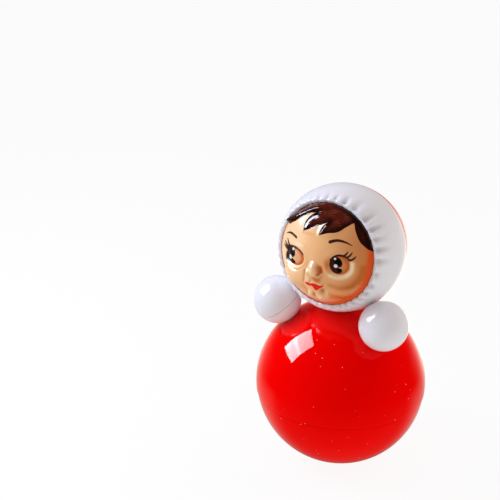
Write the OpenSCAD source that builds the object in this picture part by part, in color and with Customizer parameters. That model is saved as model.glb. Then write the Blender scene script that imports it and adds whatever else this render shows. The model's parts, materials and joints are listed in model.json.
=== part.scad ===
// A tumbler doll that always rights itself: a ball body in two halves with an iron weight low
// down, a hooded head with a moulded face, two ball mittens, and a chime of steel rods inside
// that a hanging clapper rings whenever the doll rocks. The doll faces -Y and stands at z = 0.

/* [Body] */
// Outside diameter of the upper half of the body ball
body_d = 96; // [84:1:130]
// Wall of both body halves
body_wall = 1.8; // [1.2:0.1:3]
// Width of the small flat under the ball that the doll stands still on
foot_d = 12; // [8:0.5:20]
// How far below the ball's middle the halves meet
seam_drop = 5.2; // [2:0.2:12]
// How far the upper half overhangs the lower half all round
seam_step = 0.4; // [0.2:0.1:0.8]
// Height of the tongue that locates the upper half
tongue_h = 4; // [2:0.5:8]
// Thickness of that tongue
tongue_t = 1.4; // [0.8:0.1:2.5]

/* [Neck] */
// Diameter of the neck where the head grips it
neck_d = 17; // [14:0.5:24]
// Wall of the neck tube
neck_wall = 2; // [1.2:0.1:3]
// How far the neck's collar stands out inside the head
collar_rise = 2; // [1:0.25:4]
// Thickness of that collar
collar_t = 1.6; // [1:0.1:3]

/* [Head] */
// Outside diameter of the hood
head_d = 70.6; // [60:0.2:84]
// Wall of the hood and of the back cap
hood_wall = 2; // [1.4:0.1:3]
// How far the head stands in front of the body's axis
head_forward = 2.2; // [0:0.2:5]
// How far the face looks up, in degrees
head_lean = 7.3; // [0:0.1:14]
// How far behind the head's middle the hood meets the back cap
cap_setback = 8.4; // [5:0.2:14]
// Height of the tongue on the back cap
cap_tongue_h = 3; // [2:0.25:5]
// Thickness of that tongue
cap_tongue_t = 1.2; // [0.8:0.1:2]
// How far in front of the head's middle the face opening lies
opening_front = 18; // [14:0.5:22]
// Width of the gathered band that edges the opening
band_w = 2.2; // [1.5:0.1:4]
// Depth of the groove behind that band
band_groove = 0.5; // [0.2:0.05:1]
// Number of gathers round the opening
gathers = 36; // [20:1:40]
// Depth of a gather where it leaves the band
gather_depth = 0.9; // [0.3:0.05:1.2]
// How far the longest gather runs back over the hood
gather_reach = 15; // [8:0.5:20]

/* [Face] */
// Thickness of the face plate
face_wall = 2; // [1.6:0.1:3]
// How far the face plate reaches under the hood
face_lap = 4; // [2:0.25:6]
// Height of the nose
nose_rise = 3; // [2:0.1:4.5]
// Swell of the cheeks
cheek_rise = 1.9; // [0.5:0.1:2.5]
// Depth of the eye hollows
eye_depth = 1.2; // [0.4:0.1:1.4]
// Swell of the eyeballs inside the hollows
eyeball_rise = 0.9; // [0.3:0.1:1.4]
// Height of the ridge under each eye
lid_rise = 0.6; // [0.2:0.1:1]
// Height of the lips
lip_rise = 0.6; // [0.3:0.1:1.2]
// Swell of the chin
chin_rise = 0.9; // [0.4:0.1:1.6]
// How far the muzzle round the mouth stands out
muzzle_rise = 1.1; // [0.5:0.1:2]
// Height of the moulded fringe above the forehead
hair_rise = 0.8; // [0.3:0.1:1.2]

/* [Mittens] */
// Diameter of a mitten ball
mitten_d = 27; // [20:0.5:32]
// Wall of a mitten
mitten_wall = 1.5; // [1:0.1:2.5]
// How deep a mitten's ball sinks into the body's ball
mitten_sink = 1.2; // [0.6:0.1:2]
// Turn of each mitten away from straight ahead, in degrees
mitten_turn = 65; // [50:1:80]
// Gap between a mitten and the hood
mitten_gap = 0.4; // [0.2:0.1:2]
// How far the mitten's parting line lies from its middle, towards the body
mitten_setback = 3.4; // [1:0.2:5]
// Height of the tongue that joins the two cups of a mitten
mitten_tongue_h = 2; // [1:0.25:3]
// Diameter of the peg that fixes a mitten
peg_d = 6; // [4:0.5:9]
// Length of the peg past the clip
peg_tail = 1.2; // [0.5:0.1:3]
// Diameter of the clip pushed over the peg
clip_d = 13; // [11:0.5:18]
// Thickness of that clip
clip_t = 1.2; // [0.8:0.1:2]

/* [Ballast] */
// Height of the iron weight at its middle
ballast_h = 16; // [10:0.5:18]
// Width of the chamfer round its top
ballast_chamfer = 2; // [0.5:0.25:4]
// Distance from the axis to the flat on its front, which balances the head set forward
balance_flat = 24.3; // [20:0.1:30]
// Distance of the fixing posts from the axis
post_circle = 21; // [19:0.5:23]
// Diameter of a fixing post
post_d = 7; // [5:0.5:9]
// Number of fixing posts
posts = 3; // [2:1:4]
// Thread diameter of the screws
screw_d = 3; // [2:0.25:4]
// Diameter of a screw head
screw_head_d = 5.6; // [4.5:0.25:7]
// Height of a screw head
screw_head_h = 2.2; // [1.5:0.1:3]
// Width of the slots of the cross in a screw head
screw_slot = 0.8; // [0.5:0.1:1.2]
// How far a screw bites into its post
screw_bite = 7; // [4:0.5:9]

/* [Chime] */
// Diameter of the sounding plate
plate_d = 58; // [56:1:62]
// Thickness of the sounding plate
plate_t = 3; // [2:0.25:5]
// Diameter of a chime rod
rod_d = 2.4; // [1.6:0.1:3.2]
// How far the shortest rod stands above the clapper ball's middle
rod_over = 5; // [4:0.5:8]
// Difference in length from one rod to the next
rod_step = 3; // [1:0.25:3.5]
// How deep a rod is pressed into the plate
rod_seat = 2; // [1:0.25:2.75]
// Width across the outside of the bridge's legs
bridge_span = 51; // [46:0.5:53]
// Width of the bridge's strip
bridge_w = 8; // [6:0.5:10]
// Thickness of the bridge's strip
bridge_t = 2.5; // [1.6:0.1:3]
// Radius of the bridge's outer corners
bridge_corner = 9; // [4:0.5:12]
// Length of the bridge's feet
foot_l = 8.5; // [7.5:0.25:9]
// Room between the bridge's corners and the body half above
bridge_headroom = 8; // [5:0.5:12]
// Diameter of the two pins that the clapper hangs from
pin_d = 2.4; // [1.6:0.1:3]
// Outside diameter of the eyes and lugs round those pins
eye_d = 6; // [5:0.25:7]
// Thickness of each lug
lug_t = 1.8; // [1.2:0.1:2.5]
// Distance from the bridge down to the first pin
lug_drop = 5; // [4.5:0.25:7]
// Distance between the two pins
link_l = 8; // [7.5:0.25:12]
// Thickness of the stem's eye
stem_eye_t = 3; // [2:0.25:4]
// Diameter of the clapper's stem
stem_d = 2.4; // [1.6:0.1:3]
// Distance from the second pin to the middle of the clapper ball
hang_l = 16; // [14:0.5:18]
// Diameter of the clapper ball
ball_d = 13; // [10:0.5:15]
// How far the swing link turns each way, in degrees
link_swing = 16; // [8:1:18]
// How far the clapper turns each way, in degrees
clapper_swing = 22; // [10:1:24]

/* [Fits] */
// Gap between pieces that are bonded or seated
seat_gap = 0.1; // [0.05:0.05:0.2]
// Gap round a pin, rod or screw that is pressed or screwed in
press_gap = 0.02; // [0.01:0.01:0.05]
// Gap round a pin that something turns on
run_gap = 0.05; // [0.03:0.01:0.1]
// Gap beside a swinging eye, and before the clapper meets a rod
swing_gap = 0.3; // [0.2:0.05:0.6]

/* [Hidden] */
$fn = 96;
overrun = 1;

// Body ball
body_r = body_d / 2;
lower_r = body_r - seam_step;
upper_in = body_r - body_wall;
lower_in = lower_r - body_wall;
body_z = sqrt(pow(lower_r, 2) - pow(foot_d / 2, 2));
floor_z = body_z - lower_in;
seam_in = sqrt(pow(upper_in, 2) - pow(seam_drop, 2));
tongue_r = seam_in - seat_gap;

// Head ball, and the face's own frame: x to the doll's left, y up the face, z out of it
head_r = head_d / 2;
head_in = head_r - hood_wall;
opening_a = acos(opening_front / head_in);
band_a = band_w / head_r * 180 / PI;
gather_a = gather_reach / head_r * 180 / PI;
cap_in_r = sqrt(pow(head_in, 2) - pow(cap_setback, 2));

// Neck: the edge of the head's hole sits on the body, and a collar inside the head holds it
neck_r = neck_d / 2;
collar_r = neck_r + collar_rise;
neck_hole_r = neck_r + seat_gap;
neck_seat_z = sqrt(pow(body_r, 2) - pow(neck_hole_r - head_forward, 2)) + seat_gap;
head_z = neck_seat_z + sqrt(pow(head_r, 2) - pow(neck_hole_r, 2));
collar_z = head_z - sqrt(pow(head_in, 2) - pow(collar_r, 2)) + seat_gap;
collar_top = collar_z + collar_t;
neck_root_z = sqrt(pow(body_r - body_wall / 2, 2) - pow(neck_r + head_forward, 2));

// Face plate
face_r = head_in - seat_gap;
face_edge_a = opening_a + face_lap / face_r * 180 / PI;
relief_fade_a = 5;

// Mittens: each touches the body and lies mitten_gap away from the hood
mitten_r = mitten_d / 2;
mitten_reach = body_r + mitten_r - mitten_sink;
mitten_clear = head_r + mitten_r + mitten_gap;
head_dist2 = pow(head_z, 2) + pow(head_forward, 2);
mitten_along = (pow(mitten_reach, 2) + head_dist2 - pow(mitten_clear, 2)) / (2 * mitten_reach);
head_lead = head_forward * cos(mitten_turn);
mitten_lift = atan2(head_z, head_lead) - acos(mitten_along / sqrt(pow(head_z, 2) + pow(head_lead, 2)));
mitten_in = mitten_r - mitten_wall;
mitten_floor = mitten_in - mitten_wall;
mitten_tongue_r = sqrt(pow(mitten_in, 2) - pow(mitten_setback, 2)) - seat_gap;
peg_r = peg_d / 2;
clip_top = sqrt(pow(upper_in, 2) - pow(clip_d / 2, 2)) - press_gap;
peg_end = clip_top - clip_t - peg_tail;

// Ballast and the plate that it carries
ballast_r = lower_in - seat_gap;
ballast_z = floor_z + ballast_h;
ballast_top_r = sqrt(pow(ballast_r, 2) - pow(body_z - ballast_z, 2));
post_r = post_d / 2;
post_top = ballast_z - seat_gap;
post_foot = body_z - sqrt(pow(lower_in + body_wall / 2, 2) - pow(post_circle + post_r, 2));
plate_z = ballast_z + press_gap;
plate_top = plate_z + plate_t;

// Bridge and the clapper that hangs from it
foot_reach = bridge_span / 2;
bridge_reach2 = pow(foot_reach, 2) + pow(bridge_w / 2, 2);
bridge_top = body_z + sqrt(pow(upper_in - bridge_headroom, 2) - bridge_reach2);
bridge_under = bridge_top - bridge_t;
bridge_foot_z = plate_top + press_gap;
pin_z = bridge_under - lug_drop;
clapper_z = pin_z - link_l;
ball_z = clapper_z - hang_l;
pin_r = pin_d / 2;
eye_r = eye_d / 2;
lug_gap = eye_d + 2 * swing_gap;
lug_span = lug_gap + 2 * lug_t;
fork_gap = stem_eye_t + 2 * swing_gap;
fork_span = fork_gap + 2 * lug_t;
ball_r = ball_d / 2;
rod_r = rod_d / 2;
rod_y = (link_l + hang_l) * sin(link_swing) + ball_r + rod_r + swing_gap;
rod_x = hang_l * sin(clapper_swing) + ball_r + rod_r + swing_gap;
rod_places = [[rod_x, 0], [0, rod_y], [-rod_x, 0], [0, -rod_y]];
foot_screw_x = foot_reach - bridge_t - (foot_l - bridge_t) / 2;

// Gathers: how unevenly they lie, and how the band and its roll are sampled
gather_drift = 2.4;
gather_steps = 4;
gather_fan_share = 0.55;
gather_mean_share = 0.5;
gather_brow_share = 0.3;
gather_uneven_share = 0.2;
back_row_shares = [1, 0.82, 0.66, 0.53, 0.42, 0.32, 0.23, 0.15, 0.08];
band_row_shares = [1.12, 1, 0.88, 0.7, 0.5, 0.3, 0.14, 0.04, 0];
inside_row_shares = [0.12, 0.5, 1];
band_groove_w_share = 0.22;

// Face: places and half-widths as shares of the face ball's radius
eye_x_share = 0.405;
eye_y_share = -0.03;
eye_w_share = 0.2;
eye_h_share = 0.16;
lid_y_share = -0.19;
lid_w_share = 0.15;
lid_h_share = 0.05;
nose_y_share = -0.163;
nose_w_share = 0.135;
nose_h_share = 0.15;
wing_x_share = 0.102;
wing_y_share = -0.226;
wing_w_share = 0.08;
wing_h_share = 0.07;
wing_rise_share = 0.3;
bridge_y_share = -0.024;
bridge_w_share = 0.066;
bridge_h_share = 0.096;
bridge_rise_share = 0.33;
cheek_x_share = 0.467;
cheek_y_share = -0.407;
cheek_w_share = 0.211;
cheek_h_share = 0.157;
mouth_y_share = -0.41;
mouth_w_share = 0.13;
lip_gap_share = 0.03;
lip_h_share = 0.03;
lip_low_w_share = 0.07;
chin_x_share = 0.072;
chin_y_share = -0.58;
chin_w_share = 0.1;
chin_h_share = 0.11;
muzzle_w_share = 0.117;
muzzle_spread_share = 0.16;
muzzle_top_share = -0.13;
muzzle_low_share = -0.74;
muzzle_side_share = 0.15;
muzzle_end_share = 0.18;
// Lower edge of the fringe: three locks combed to one side, then the temple lock
hair_edge_shares = [[-0.9, 0.3], [-0.65, 0.38], [-0.3, 0.6], [-0.26, 0.39], [0.02, 0.56],
    [0.05, 0.39], [0.35, 0.47], [0.48, 0.61], [0.57, 0.45], [0.78, 0.22], [0.9, 0.1]];
hair_soft_share = 0.035;
face_steps = 96;
face_rows = 30;
face_back_shares = [1, 0.66, 0.33];

// Frames that the pieces are drawn in
module at_body() {
    translate([0, 0, body_z]) children();
}

module at_neck() {
    at_body() translate([0, -head_forward, 0]) children();
}

module at_face() {
    at_neck() translate([0, 0, head_z]) rotate([90 - head_lean, 0, 0]) children();
}

module at_mitten(side) {
    at_body() rotate([0, 0, side * mitten_turn]) rotate([90 - mitten_lift, 0, 0]) children();
}

// Everything on the far side of a level, as wide as the piece needs
module above(level, reach) {
    translate([-reach, -reach, level]) cube([2 * reach, 2 * reach, 2 * reach]);
}

module below(level, reach) {
    translate([-reach, -reach, level - 2 * reach]) cube([2 * reach, 2 * reach, 2 * reach]);
}

module ball_shell(outer, inner) {
    difference() {
        sphere(outer);
        sphere(inner);
    }
}

module ring(outer, inner, low, high) {
    translate([0, 0, low]) difference() {
        cylinder(h = high - low, r = outer);
        translate([0, 0, -overrun]) cylinder(h = high - low + 2 * overrun, r = inner);
    }
}

module on_posts() {
    for (i = [0 : posts - 1]) rotate([0, 0, 90 + 360 * i / posts]) translate([post_circle, 0, 0]) children();
}

module along_x(length, radius) {
    rotate([0, 90, 0]) cylinder(h = length, r = radius, center = true);
}

module along_y(length, radius) {
    rotate([90, 0, 0]) cylinder(h = length, r = radius, center = true);
}

// Body
module body_lower_shell() {
    color("red") {
        difference() {
            union() {
                at_body() intersection() {
                    ball_shell(lower_r, lower_in);
                    below(-seam_drop, body_d);
                }
                at_body() intersection() {
                    ring(tongue_r, tongue_r - tongue_t, -seam_drop - tongue_h, -seam_drop + tongue_h);
                    sphere(lower_r - seam_step);
                }
                on_posts() translate([0, 0, post_foot]) cylinder(h = post_top - post_foot, r = post_r);
            }
            on_posts() translate([0, 0, plate_z - screw_bite]) {
                cylinder(h = screw_bite + overrun, r = screw_d / 2 + press_gap);
            }
            below(0, body_d);
        }
    }
}

module body_upper_shell() {
    color("red") {
        difference() {
            union() {
                at_body() intersection() {
                    ball_shell(body_r, upper_in);
                    above(-seam_drop, body_d);
                }
                at_neck() translate([0, 0, neck_root_z]) cylinder(h = collar_top - neck_root_z, r = neck_r);
                at_neck() translate([0, 0, collar_z]) cylinder(h = collar_t, r = collar_r);
            }
            at_neck() translate([0, 0, neck_root_z - overrun]) {
                cylinder(h = collar_top - neck_root_z + 2 * overrun, r = neck_r - neck_wall);
            }
            for (side = [-1, 1]) at_mitten(side) translate([0, 0, peg_end]) {
                cylinder(h = mitten_reach - peg_end, r = peg_r + press_gap);
            }
        }
    }
}

// Ballast and its screws
module ballast_weight() {
    color("dimgray") difference() {
        at_body() intersection() {
            sphere(ballast_r);
            below(ballast_z - body_z, body_d);
            translate([0, 0, -body_z]) cylinder(
                h = ballast_z,
                r1 = ballast_top_r + ballast_z - ballast_chamfer,
                r2 = ballast_top_r - ballast_chamfer
            );
        }
        on_posts() cylinder(h = body_z, r = post_r + seat_gap);
        rotate([90, 0, 0]) above(balance_flat, body_d);
    }
}

module screw(length) {
    difference() {
        union() {
            translate([0, 0, -length]) cylinder(h = length + press_gap, r = screw_d / 2);
            translate([0, 0, press_gap]) cylinder(h = screw_head_h, r = screw_head_d / 2);
        }
        for (turn = [0, 90]) rotate([0, 0, turn]) {
            translate([-screw_head_d / 4, -screw_slot / 2, press_gap + screw_head_h / 2]) {
                cube([screw_head_d / 2, screw_slot, screw_head_h]);
            }
        }
    }
}

module ballast_screws() {
    color("silver") on_posts() translate([0, 0, plate_top]) screw(plate_t + screw_bite - screw_d / 2);
}

// Chime
module chime_plate() {
    color("tan") difference() {
        translate([0, 0, plate_z]) cylinder(h = plate_t, d = plate_d);
        on_posts() cylinder(h = body_z, r = screw_d / 2 + press_gap);
        for (place = rod_places) translate([place[0], place[1], plate_top - rod_seat]) {
            cylinder(h = plate_t, r = rod_r + press_gap);
        }
        for (side = [-1, 1]) translate([side * foot_screw_x, 0, 0]) {
            cylinder(h = body_z, r = screw_d / 2 + press_gap);
        }
    }
}

module chime_rod(i) {
    top = ball_z + rod_over + rod_step * i;
    foot = plate_top - rod_seat + press_gap;
    color("lightsteelblue") translate([rod_places[i][0], rod_places[i][1], foot]) {
        cylinder(h = top - foot, r = rod_r);
    }
}

module chime_rod_1() {
    chime_rod(0);
}

module chime_rod_2() {
    chime_rod(1);
}

module chime_rod_3() {
    chime_rod(2);
}

module chime_rod_4() {
    chime_rod(3);
}

// Outline of a portal with round top corners
module portal(width, height, corner) {
    translate([-width / 2, 0]) square([width, height - corner]);
    translate([corner - width / 2, 0]) square([width - 2 * corner, height]);
    for (side = [-1, 1]) translate([side * (width / 2 - corner), height - corner]) circle(corner);
}

module chime_bridge() {
    rise = bridge_top - bridge_foot_z;
    inner_corner = bridge_corner - bridge_t;
    color("gold") difference() {
        union() {
            translate([0, bridge_w / 2, bridge_foot_z]) rotate([90, 0, 0]) linear_extrude(bridge_w) {
                difference() {
                    portal(bridge_span, rise, bridge_corner);
                    translate([0, -overrun]) {
                        portal(bridge_span - 2 * bridge_t, rise - bridge_t + overrun, inner_corner);
                    }
                }
            }
            for (side = [-1, 1]) {
                translate([side * (foot_reach - foot_l / 2), 0, bridge_foot_z + bridge_t / 2]) {
                    cube([foot_l, bridge_w, bridge_t], center = true);
                }
            }
            for (side = [-1, 1]) translate([side * (lug_gap + lug_t) / 2, 0, pin_z]) {
                along_x(lug_t, eye_r);
                translate([-lug_t / 2, -eye_r, 0]) cube([lug_t, eye_d, lug_drop + bridge_t / 2]);
            }
        }
        translate([0, 0, pin_z]) along_x(lug_span + 2 * overrun, pin_r + press_gap);
        for (side = [-1, 1]) translate([side * foot_screw_x, 0, plate_top - overrun]) {
            cylinder(h = bridge_t + 2 * overrun, r = screw_d / 2 + press_gap);
        }
    }
}

module bridge_screws() {
    color("silver") for (side = [-1, 1]) {
        translate([side * foot_screw_x, 0, bridge_foot_z + bridge_t]) screw(bridge_t + plate_t);
    }
}

module bridge_pin() {
    color("silver") translate([0, 0, pin_z]) along_x(lug_span, pin_r);
}

module swing_link() {
    color("ivory") difference() {
        union() {
            translate([0, 0, pin_z]) along_x(eye_d, eye_r);
            translate([-eye_r, -fork_span / 2, clapper_z]) cube([eye_d, fork_span, link_l]);
            translate([0, 0, clapper_z]) along_y(fork_span, eye_r);
        }
        translate([0, 0, pin_z]) along_x(lug_span, pin_r + run_gap);
        translate([0, 0, clapper_z]) along_y(fork_span + 2 * overrun, pin_r + press_gap);
        translate([-eye_d, -fork_gap / 2, clapper_z - eye_d]) {
            cube([2 * eye_d, fork_gap, eye_d + eye_r + swing_gap]);
        }
    }
}

module clapper_pin() {
    color("silver") translate([0, 0, clapper_z]) along_y(fork_span, pin_r);
}

module clapper_stem() {
    color("lightsteelblue") difference() {
        translate([0, 0, clapper_z]) {
            along_y(stem_eye_t, eye_r);
            translate([0, 0, -hang_l - ball_r - press_gap]) cylinder(h = hang_l + ball_r, d = stem_d);
        }
        translate([0, 0, clapper_z]) along_y(stem_eye_t + 2 * overrun, pin_r + run_gap);
    }
}

module clapper_ball() {
    color("gold") translate([0, 0, ball_z]) difference() {
        sphere(ball_r);
        cylinder(h = ball_d + 2 * overrun, d = stem_d + 2 * press_gap, center = true);
    }
}

// Smooth steps used by the hood and the face
function clamp(v) = min(1, max(0, v));
function ease(v) = let (c = clamp(v)) c * c * (3 - 2 * c);
function bell(x, y, cx, cy, wx, wy) = exp(-pow((x - cx) / wx, 2) - pow((y - cy) / wy, 2));
function knob(x, y, cx, cy, wx, wy) = ease(1 - pow((x - cx) / wx, 2) - pow((y - cy) / wy, 2));
function polar(rho, a, turn) = [rho * sin(a) * cos(turn), rho * sin(a) * sin(turn), rho * cos(a)];

// Hood: gathers lie at uneven turns and reach unevenly far back, longest over the brow
function gather_turn(k) =
    let (turn = 360 * k / gathers) turn + gather_drift * (sin(5 * turn + 40) + sin(9 * turn + 200));
function gather_fold(step) = 1 - abs(sin(180 * step / gather_steps));
function gather_len(turn) =
    1 - gather_fan_share
        * (gather_mean_share - gather_brow_share * sin(turn - 10) + gather_uneven_share * sin(7 * turn + 80));
function band_rise(s) = sqrt(max(0, 1 - pow(1 - 2 * min(s, 0.5), 2)));

function hood_outer(turn, step, a) =
    let (s = (a - opening_a) / band_a,
        past = (a - opening_a - band_a) / (gather_a * gather_len(turn)),
        fold = gather_fold(step),
        groove = band_groove * exp(-pow((s - 1) / band_groove_w_share, 2)),
        pinch = s < 1 ? gather_depth * fold * ease(2 * s - 1) : gather_depth * fold * (1 - ease(past)))
    s < 0.5 ? head_in + hood_wall * band_rise(s) : head_r - groove - pinch;

// Rows run over the outside from the back cap to the band's edge, then home along the inside
cap_a = 90 + asin(cap_setback / head_r);
cap_in_a = 90 + asin(cap_setback / head_in);
hood_rows = concat(
    [for (share = back_row_shares) [opening_a + band_a + share * (cap_a - opening_a - band_a), 1]],
    [for (share = band_row_shares) [opening_a + share * band_a, 1]],
    [for (share = inside_row_shares) [opening_a + share * (cap_in_a - opening_a), 0]]
);
hood_columns = gathers * gather_steps;

function hood_point(row, i) =
    let (step = i % gather_steps, turn = gather_turn(i / gather_steps))
    polar(row[1] == 1 ? hood_outer(turn, step, row[0]) : head_in, row[0], turn);

// Triangles between two neighbouring rows of points
function band_faces(row, next, columns) = [
    for (i = [0 : columns - 1]) let (j = (i + 1) % columns)
        each [[row + i, next + i, next + j], [row + i, next + j, row + j]]
];

module neck_hole() {
    at_neck() translate([0, 0, head_z - head_r - overrun]) {
        cylinder(h = collar_top - head_z + head_r + overrun, r = neck_hole_r);
    }
}

module hood() {
    count = len(hood_rows);
    color("white") difference() {
        at_face() polyhedron(
            points = [for (row = hood_rows) for (i = [0 : hood_columns - 1]) hood_point(row, i)],
            faces = [for (r = [0 : count - 1])
                each band_faces(r * hood_columns, (r + 1) % count * hood_columns, hood_columns)]
        );
        neck_hole();
    }
}

module head_back_cap() {
    tongue = cap_in_r - seat_gap;
    color("red") difference() {
        at_face() {
            intersection() {
                ball_shell(head_r, head_in);
                below(-cap_setback - press_gap, head_d);
            }
            intersection() {
                ring(tongue, tongue - cap_tongue_t, -cap_setback - cap_tongue_h, -cap_setback + cap_tongue_h);
                sphere(head_r - hood_wall / 2);
            }
        }
        neck_hole();
        at_neck() translate([0, 0, collar_z - seat_gap]) {
            cylinder(h = collar_t + 2 * seat_gap, r = collar_r + seat_gap);
        }
    }
}

// Face: a ball-shaped plate with the features raised on it
function hair(x, y) = ease((y - lookup(x, hair_edge_shares)) / hair_soft_share + 0.5);
function muzzle(x, y) =
    let (half = muzzle_w_share + muzzle_spread_share * max(0, muzzle_top_share - y))
    ease((half - abs(x)) / muzzle_side_share + 0.5)
        * ease((muzzle_top_share - y) / muzzle_end_share)
        * ease((y - muzzle_low_share) / muzzle_end_share);
function relief(x, y) =
    nose_rise * knob(x, y, 0, nose_y_share, nose_w_share, nose_h_share)
    + wing_rise_share * nose_rise * knob(abs(x), y, wing_x_share, wing_y_share, wing_w_share, wing_h_share)
    + bridge_rise_share * nose_rise * bell(x, y, 0, bridge_y_share, bridge_w_share, bridge_h_share)
    + cheek_rise * bell(abs(x), y, cheek_x_share, cheek_y_share, cheek_w_share, cheek_h_share)
    - eye_depth * bell(abs(x), y, eye_x_share, eye_y_share, eye_w_share, eye_h_share)
    + eyeball_rise * bell(abs(x), y, eye_x_share, eye_y_share, eye_w_share / 2, eye_h_share / 2)
    + lid_rise * bell(abs(x), y, eye_x_share, lid_y_share, lid_w_share, lid_h_share)
    + muzzle_rise * muzzle(x, y)
    + lip_rise * bell(x, y, 0, mouth_y_share + lip_gap_share, mouth_w_share, lip_h_share)
    + lip_rise * bell(x, y, 0, mouth_y_share - lip_gap_share, lip_low_w_share, lip_h_share)
    + chin_rise * knob(abs(x), y, chin_x_share, chin_y_share, chin_w_share, chin_h_share)
    + hair_rise * hair(x, y);

function face_point(row, i) =
    let (a = opening_a * row / face_rows,
        turn = 360 * i / face_steps,
        fade = ease((opening_a - a) / relief_fade_a))
    polar(face_r + fade * relief(sin(a) * cos(turn), sin(a) * sin(turn)), a, turn);

module face() {
    back_r = face_r - face_wall;
    rings = face_rows + 1 + len(face_back_shares);
    last = 1 + rings * face_steps;
    front = face_r + relief(0, 0);
    color("burlywood") at_face() polyhedron(
        points = concat(
            [[0, 0, front]],
            [for (row = [1 : face_rows]) for (i = [0 : face_steps - 1]) face_point(row, i)],
            [for (i = [0 : face_steps - 1]) polar(face_r, face_edge_a, 360 * i / face_steps)],
            [for (share = face_back_shares) for (i = [0 : face_steps - 1])
                polar(back_r, share * face_edge_a, 360 * i / face_steps)],
            [[0, 0, back_r]]
        ),
        faces = concat(
            [for (i = [0 : face_steps - 1]) [0, 1 + (i + 1) % face_steps, 1 + i]],
            [for (r = [0 : rings - 2])
                each band_faces(1 + (r + 1) * face_steps, 1 + r * face_steps, face_steps)],
            [for (i = [0 : face_steps - 1])
                [last, last - face_steps + i, last - face_steps + (i + 1) % face_steps]]
        )
    );
}

// Mittens
module mitten_outer(side) {
    color("white") at_mitten(side) translate([0, 0, mitten_reach]) intersection() {
        ball_shell(mitten_r, mitten_in);
        above(-mitten_setback, mitten_d);
    }
}

module mitten_inner(side) {
    color("white") at_mitten(side) difference() {
        translate([0, 0, mitten_reach]) {
            difference() {
                intersection() {
                    sphere(mitten_r);
                    below(-mitten_setback - press_gap, mitten_d);
                }
                intersection() {
                    sphere(mitten_in);
                    above(-mitten_floor, mitten_d);
                }
            }
            ring(mitten_tongue_r, mitten_tongue_r - mitten_wall, -mitten_setback - mitten_tongue_h,
                -mitten_setback + mitten_tongue_h);
        }
        sphere(body_r + press_gap);
    }
    color("white") at_mitten(side) translate([0, 0, peg_end]) {
        cylinder(h = mitten_reach - mitten_floor - peg_end, r = peg_r);
    }
}

module mitten_clip(side) {
    color("silver") at_mitten(side) translate([0, 0, clip_top - clip_t]) difference() {
        cylinder(h = clip_t, d = clip_d);
        translate([0, 0, -overrun]) cylinder(h = clip_t + 2 * overrun, r = peg_r + press_gap);
    }
}

module mitten_outer_left() {
    mitten_outer(1);
}

module mitten_inner_left() {
    mitten_inner(1);
}

module mitten_clip_left() {
    mitten_clip(1);
}

module mitten_outer_right() {
    mitten_outer(-1);
}

module mitten_inner_right() {
    mitten_inner(-1);
}

module mitten_clip_right() {
    mitten_clip(-1);
}

body_lower_shell();
body_upper_shell();
ballast_weight();
ballast_screws();
chime_plate();
chime_rod_1();
chime_rod_2();
chime_rod_3();
chime_rod_4();
chime_bridge();
bridge_screws();
bridge_pin();
swing_link();
clapper_pin();
clapper_stem();
clapper_ball();
hood();
head_back_cap();
face();
mitten_outer_left();
mitten_inner_left();
mitten_clip_left();
mitten_outer_right();
mitten_inner_right();
mitten_clip_right();
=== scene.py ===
# %% [markdown]
# This lesson dresses a roly poly toy: a hooded doll on a heavy-bottomed ball that always rights itself.
# The solids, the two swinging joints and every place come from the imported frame, which stays as it is.
# We could model the looks by hand in the viewport, but each surface here is a formula, so we work it out
# with numpy in millimetres and hand Blender the finished points.

import json

import bpy
import numpy as np
from mathutils import Matrix, Vector


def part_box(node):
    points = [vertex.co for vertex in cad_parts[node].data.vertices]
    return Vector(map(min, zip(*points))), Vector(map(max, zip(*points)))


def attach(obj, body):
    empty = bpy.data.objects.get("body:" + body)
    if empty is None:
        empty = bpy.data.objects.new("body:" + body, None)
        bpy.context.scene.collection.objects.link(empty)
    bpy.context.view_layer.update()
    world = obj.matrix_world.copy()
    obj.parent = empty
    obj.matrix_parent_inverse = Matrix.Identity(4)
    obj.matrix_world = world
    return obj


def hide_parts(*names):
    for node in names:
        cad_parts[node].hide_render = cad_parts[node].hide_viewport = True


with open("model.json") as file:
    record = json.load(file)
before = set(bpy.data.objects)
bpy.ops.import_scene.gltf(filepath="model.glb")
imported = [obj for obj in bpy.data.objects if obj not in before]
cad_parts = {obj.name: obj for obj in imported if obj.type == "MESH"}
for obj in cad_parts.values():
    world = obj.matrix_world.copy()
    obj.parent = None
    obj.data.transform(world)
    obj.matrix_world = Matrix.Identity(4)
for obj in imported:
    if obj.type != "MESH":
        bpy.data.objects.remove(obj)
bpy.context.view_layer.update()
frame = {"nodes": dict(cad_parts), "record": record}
MM = 0.001

# %% [markdown]
# The doll is built from balls. Their centres could be typed in, but then a change of the solids would
# leave the looks behind, so we read them from the boxes of the solids. The head ball leans back a little
# and gets a frame of its own: x to the doll's left, y up the face and z straight out of it.

# %% Measure the body and the head
SEAM_DROP = 5.2
CAP_SETBACK = 8.4
HEAD_LEAN = np.radians(7.3)


def box_mm(node):
    """Lowest and highest corners of a solid, in millimetres."""
    low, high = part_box(node)
    return np.array(low) / MM, np.array(high) / MM


upper_low, upper_high = box_mm("body_upper_shell")
cap_low, cap_high = box_mm("head_back_cap")
head_top = box_mm("hood")[1][2]

BODY_R = (upper_high[0] - upper_low[0]) / 2
BODY_CENTRE = np.array([0, 0, upper_low[2] + SEAM_DROP])
HEAD_R = np.hypot((cap_high[0] - cap_low[0]) / 2, CAP_SETBACK)
HEAD_CENTRE = np.array([0, cap_high[1] - HEAD_R, head_top - HEAD_R])
FACE_AXES = np.array([
    [1, 0, 0],
    [0, np.sin(HEAD_LEAN), np.cos(HEAD_LEAN)],
    [0, -np.cos(HEAD_LEAN), np.sin(HEAD_LEAN)],
])
UPRIGHT = np.eye(3)
print("body ball", BODY_R, "at", BODY_CENTRE, "head ball", HEAD_R, "at", HEAD_CENTRE)

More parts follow.
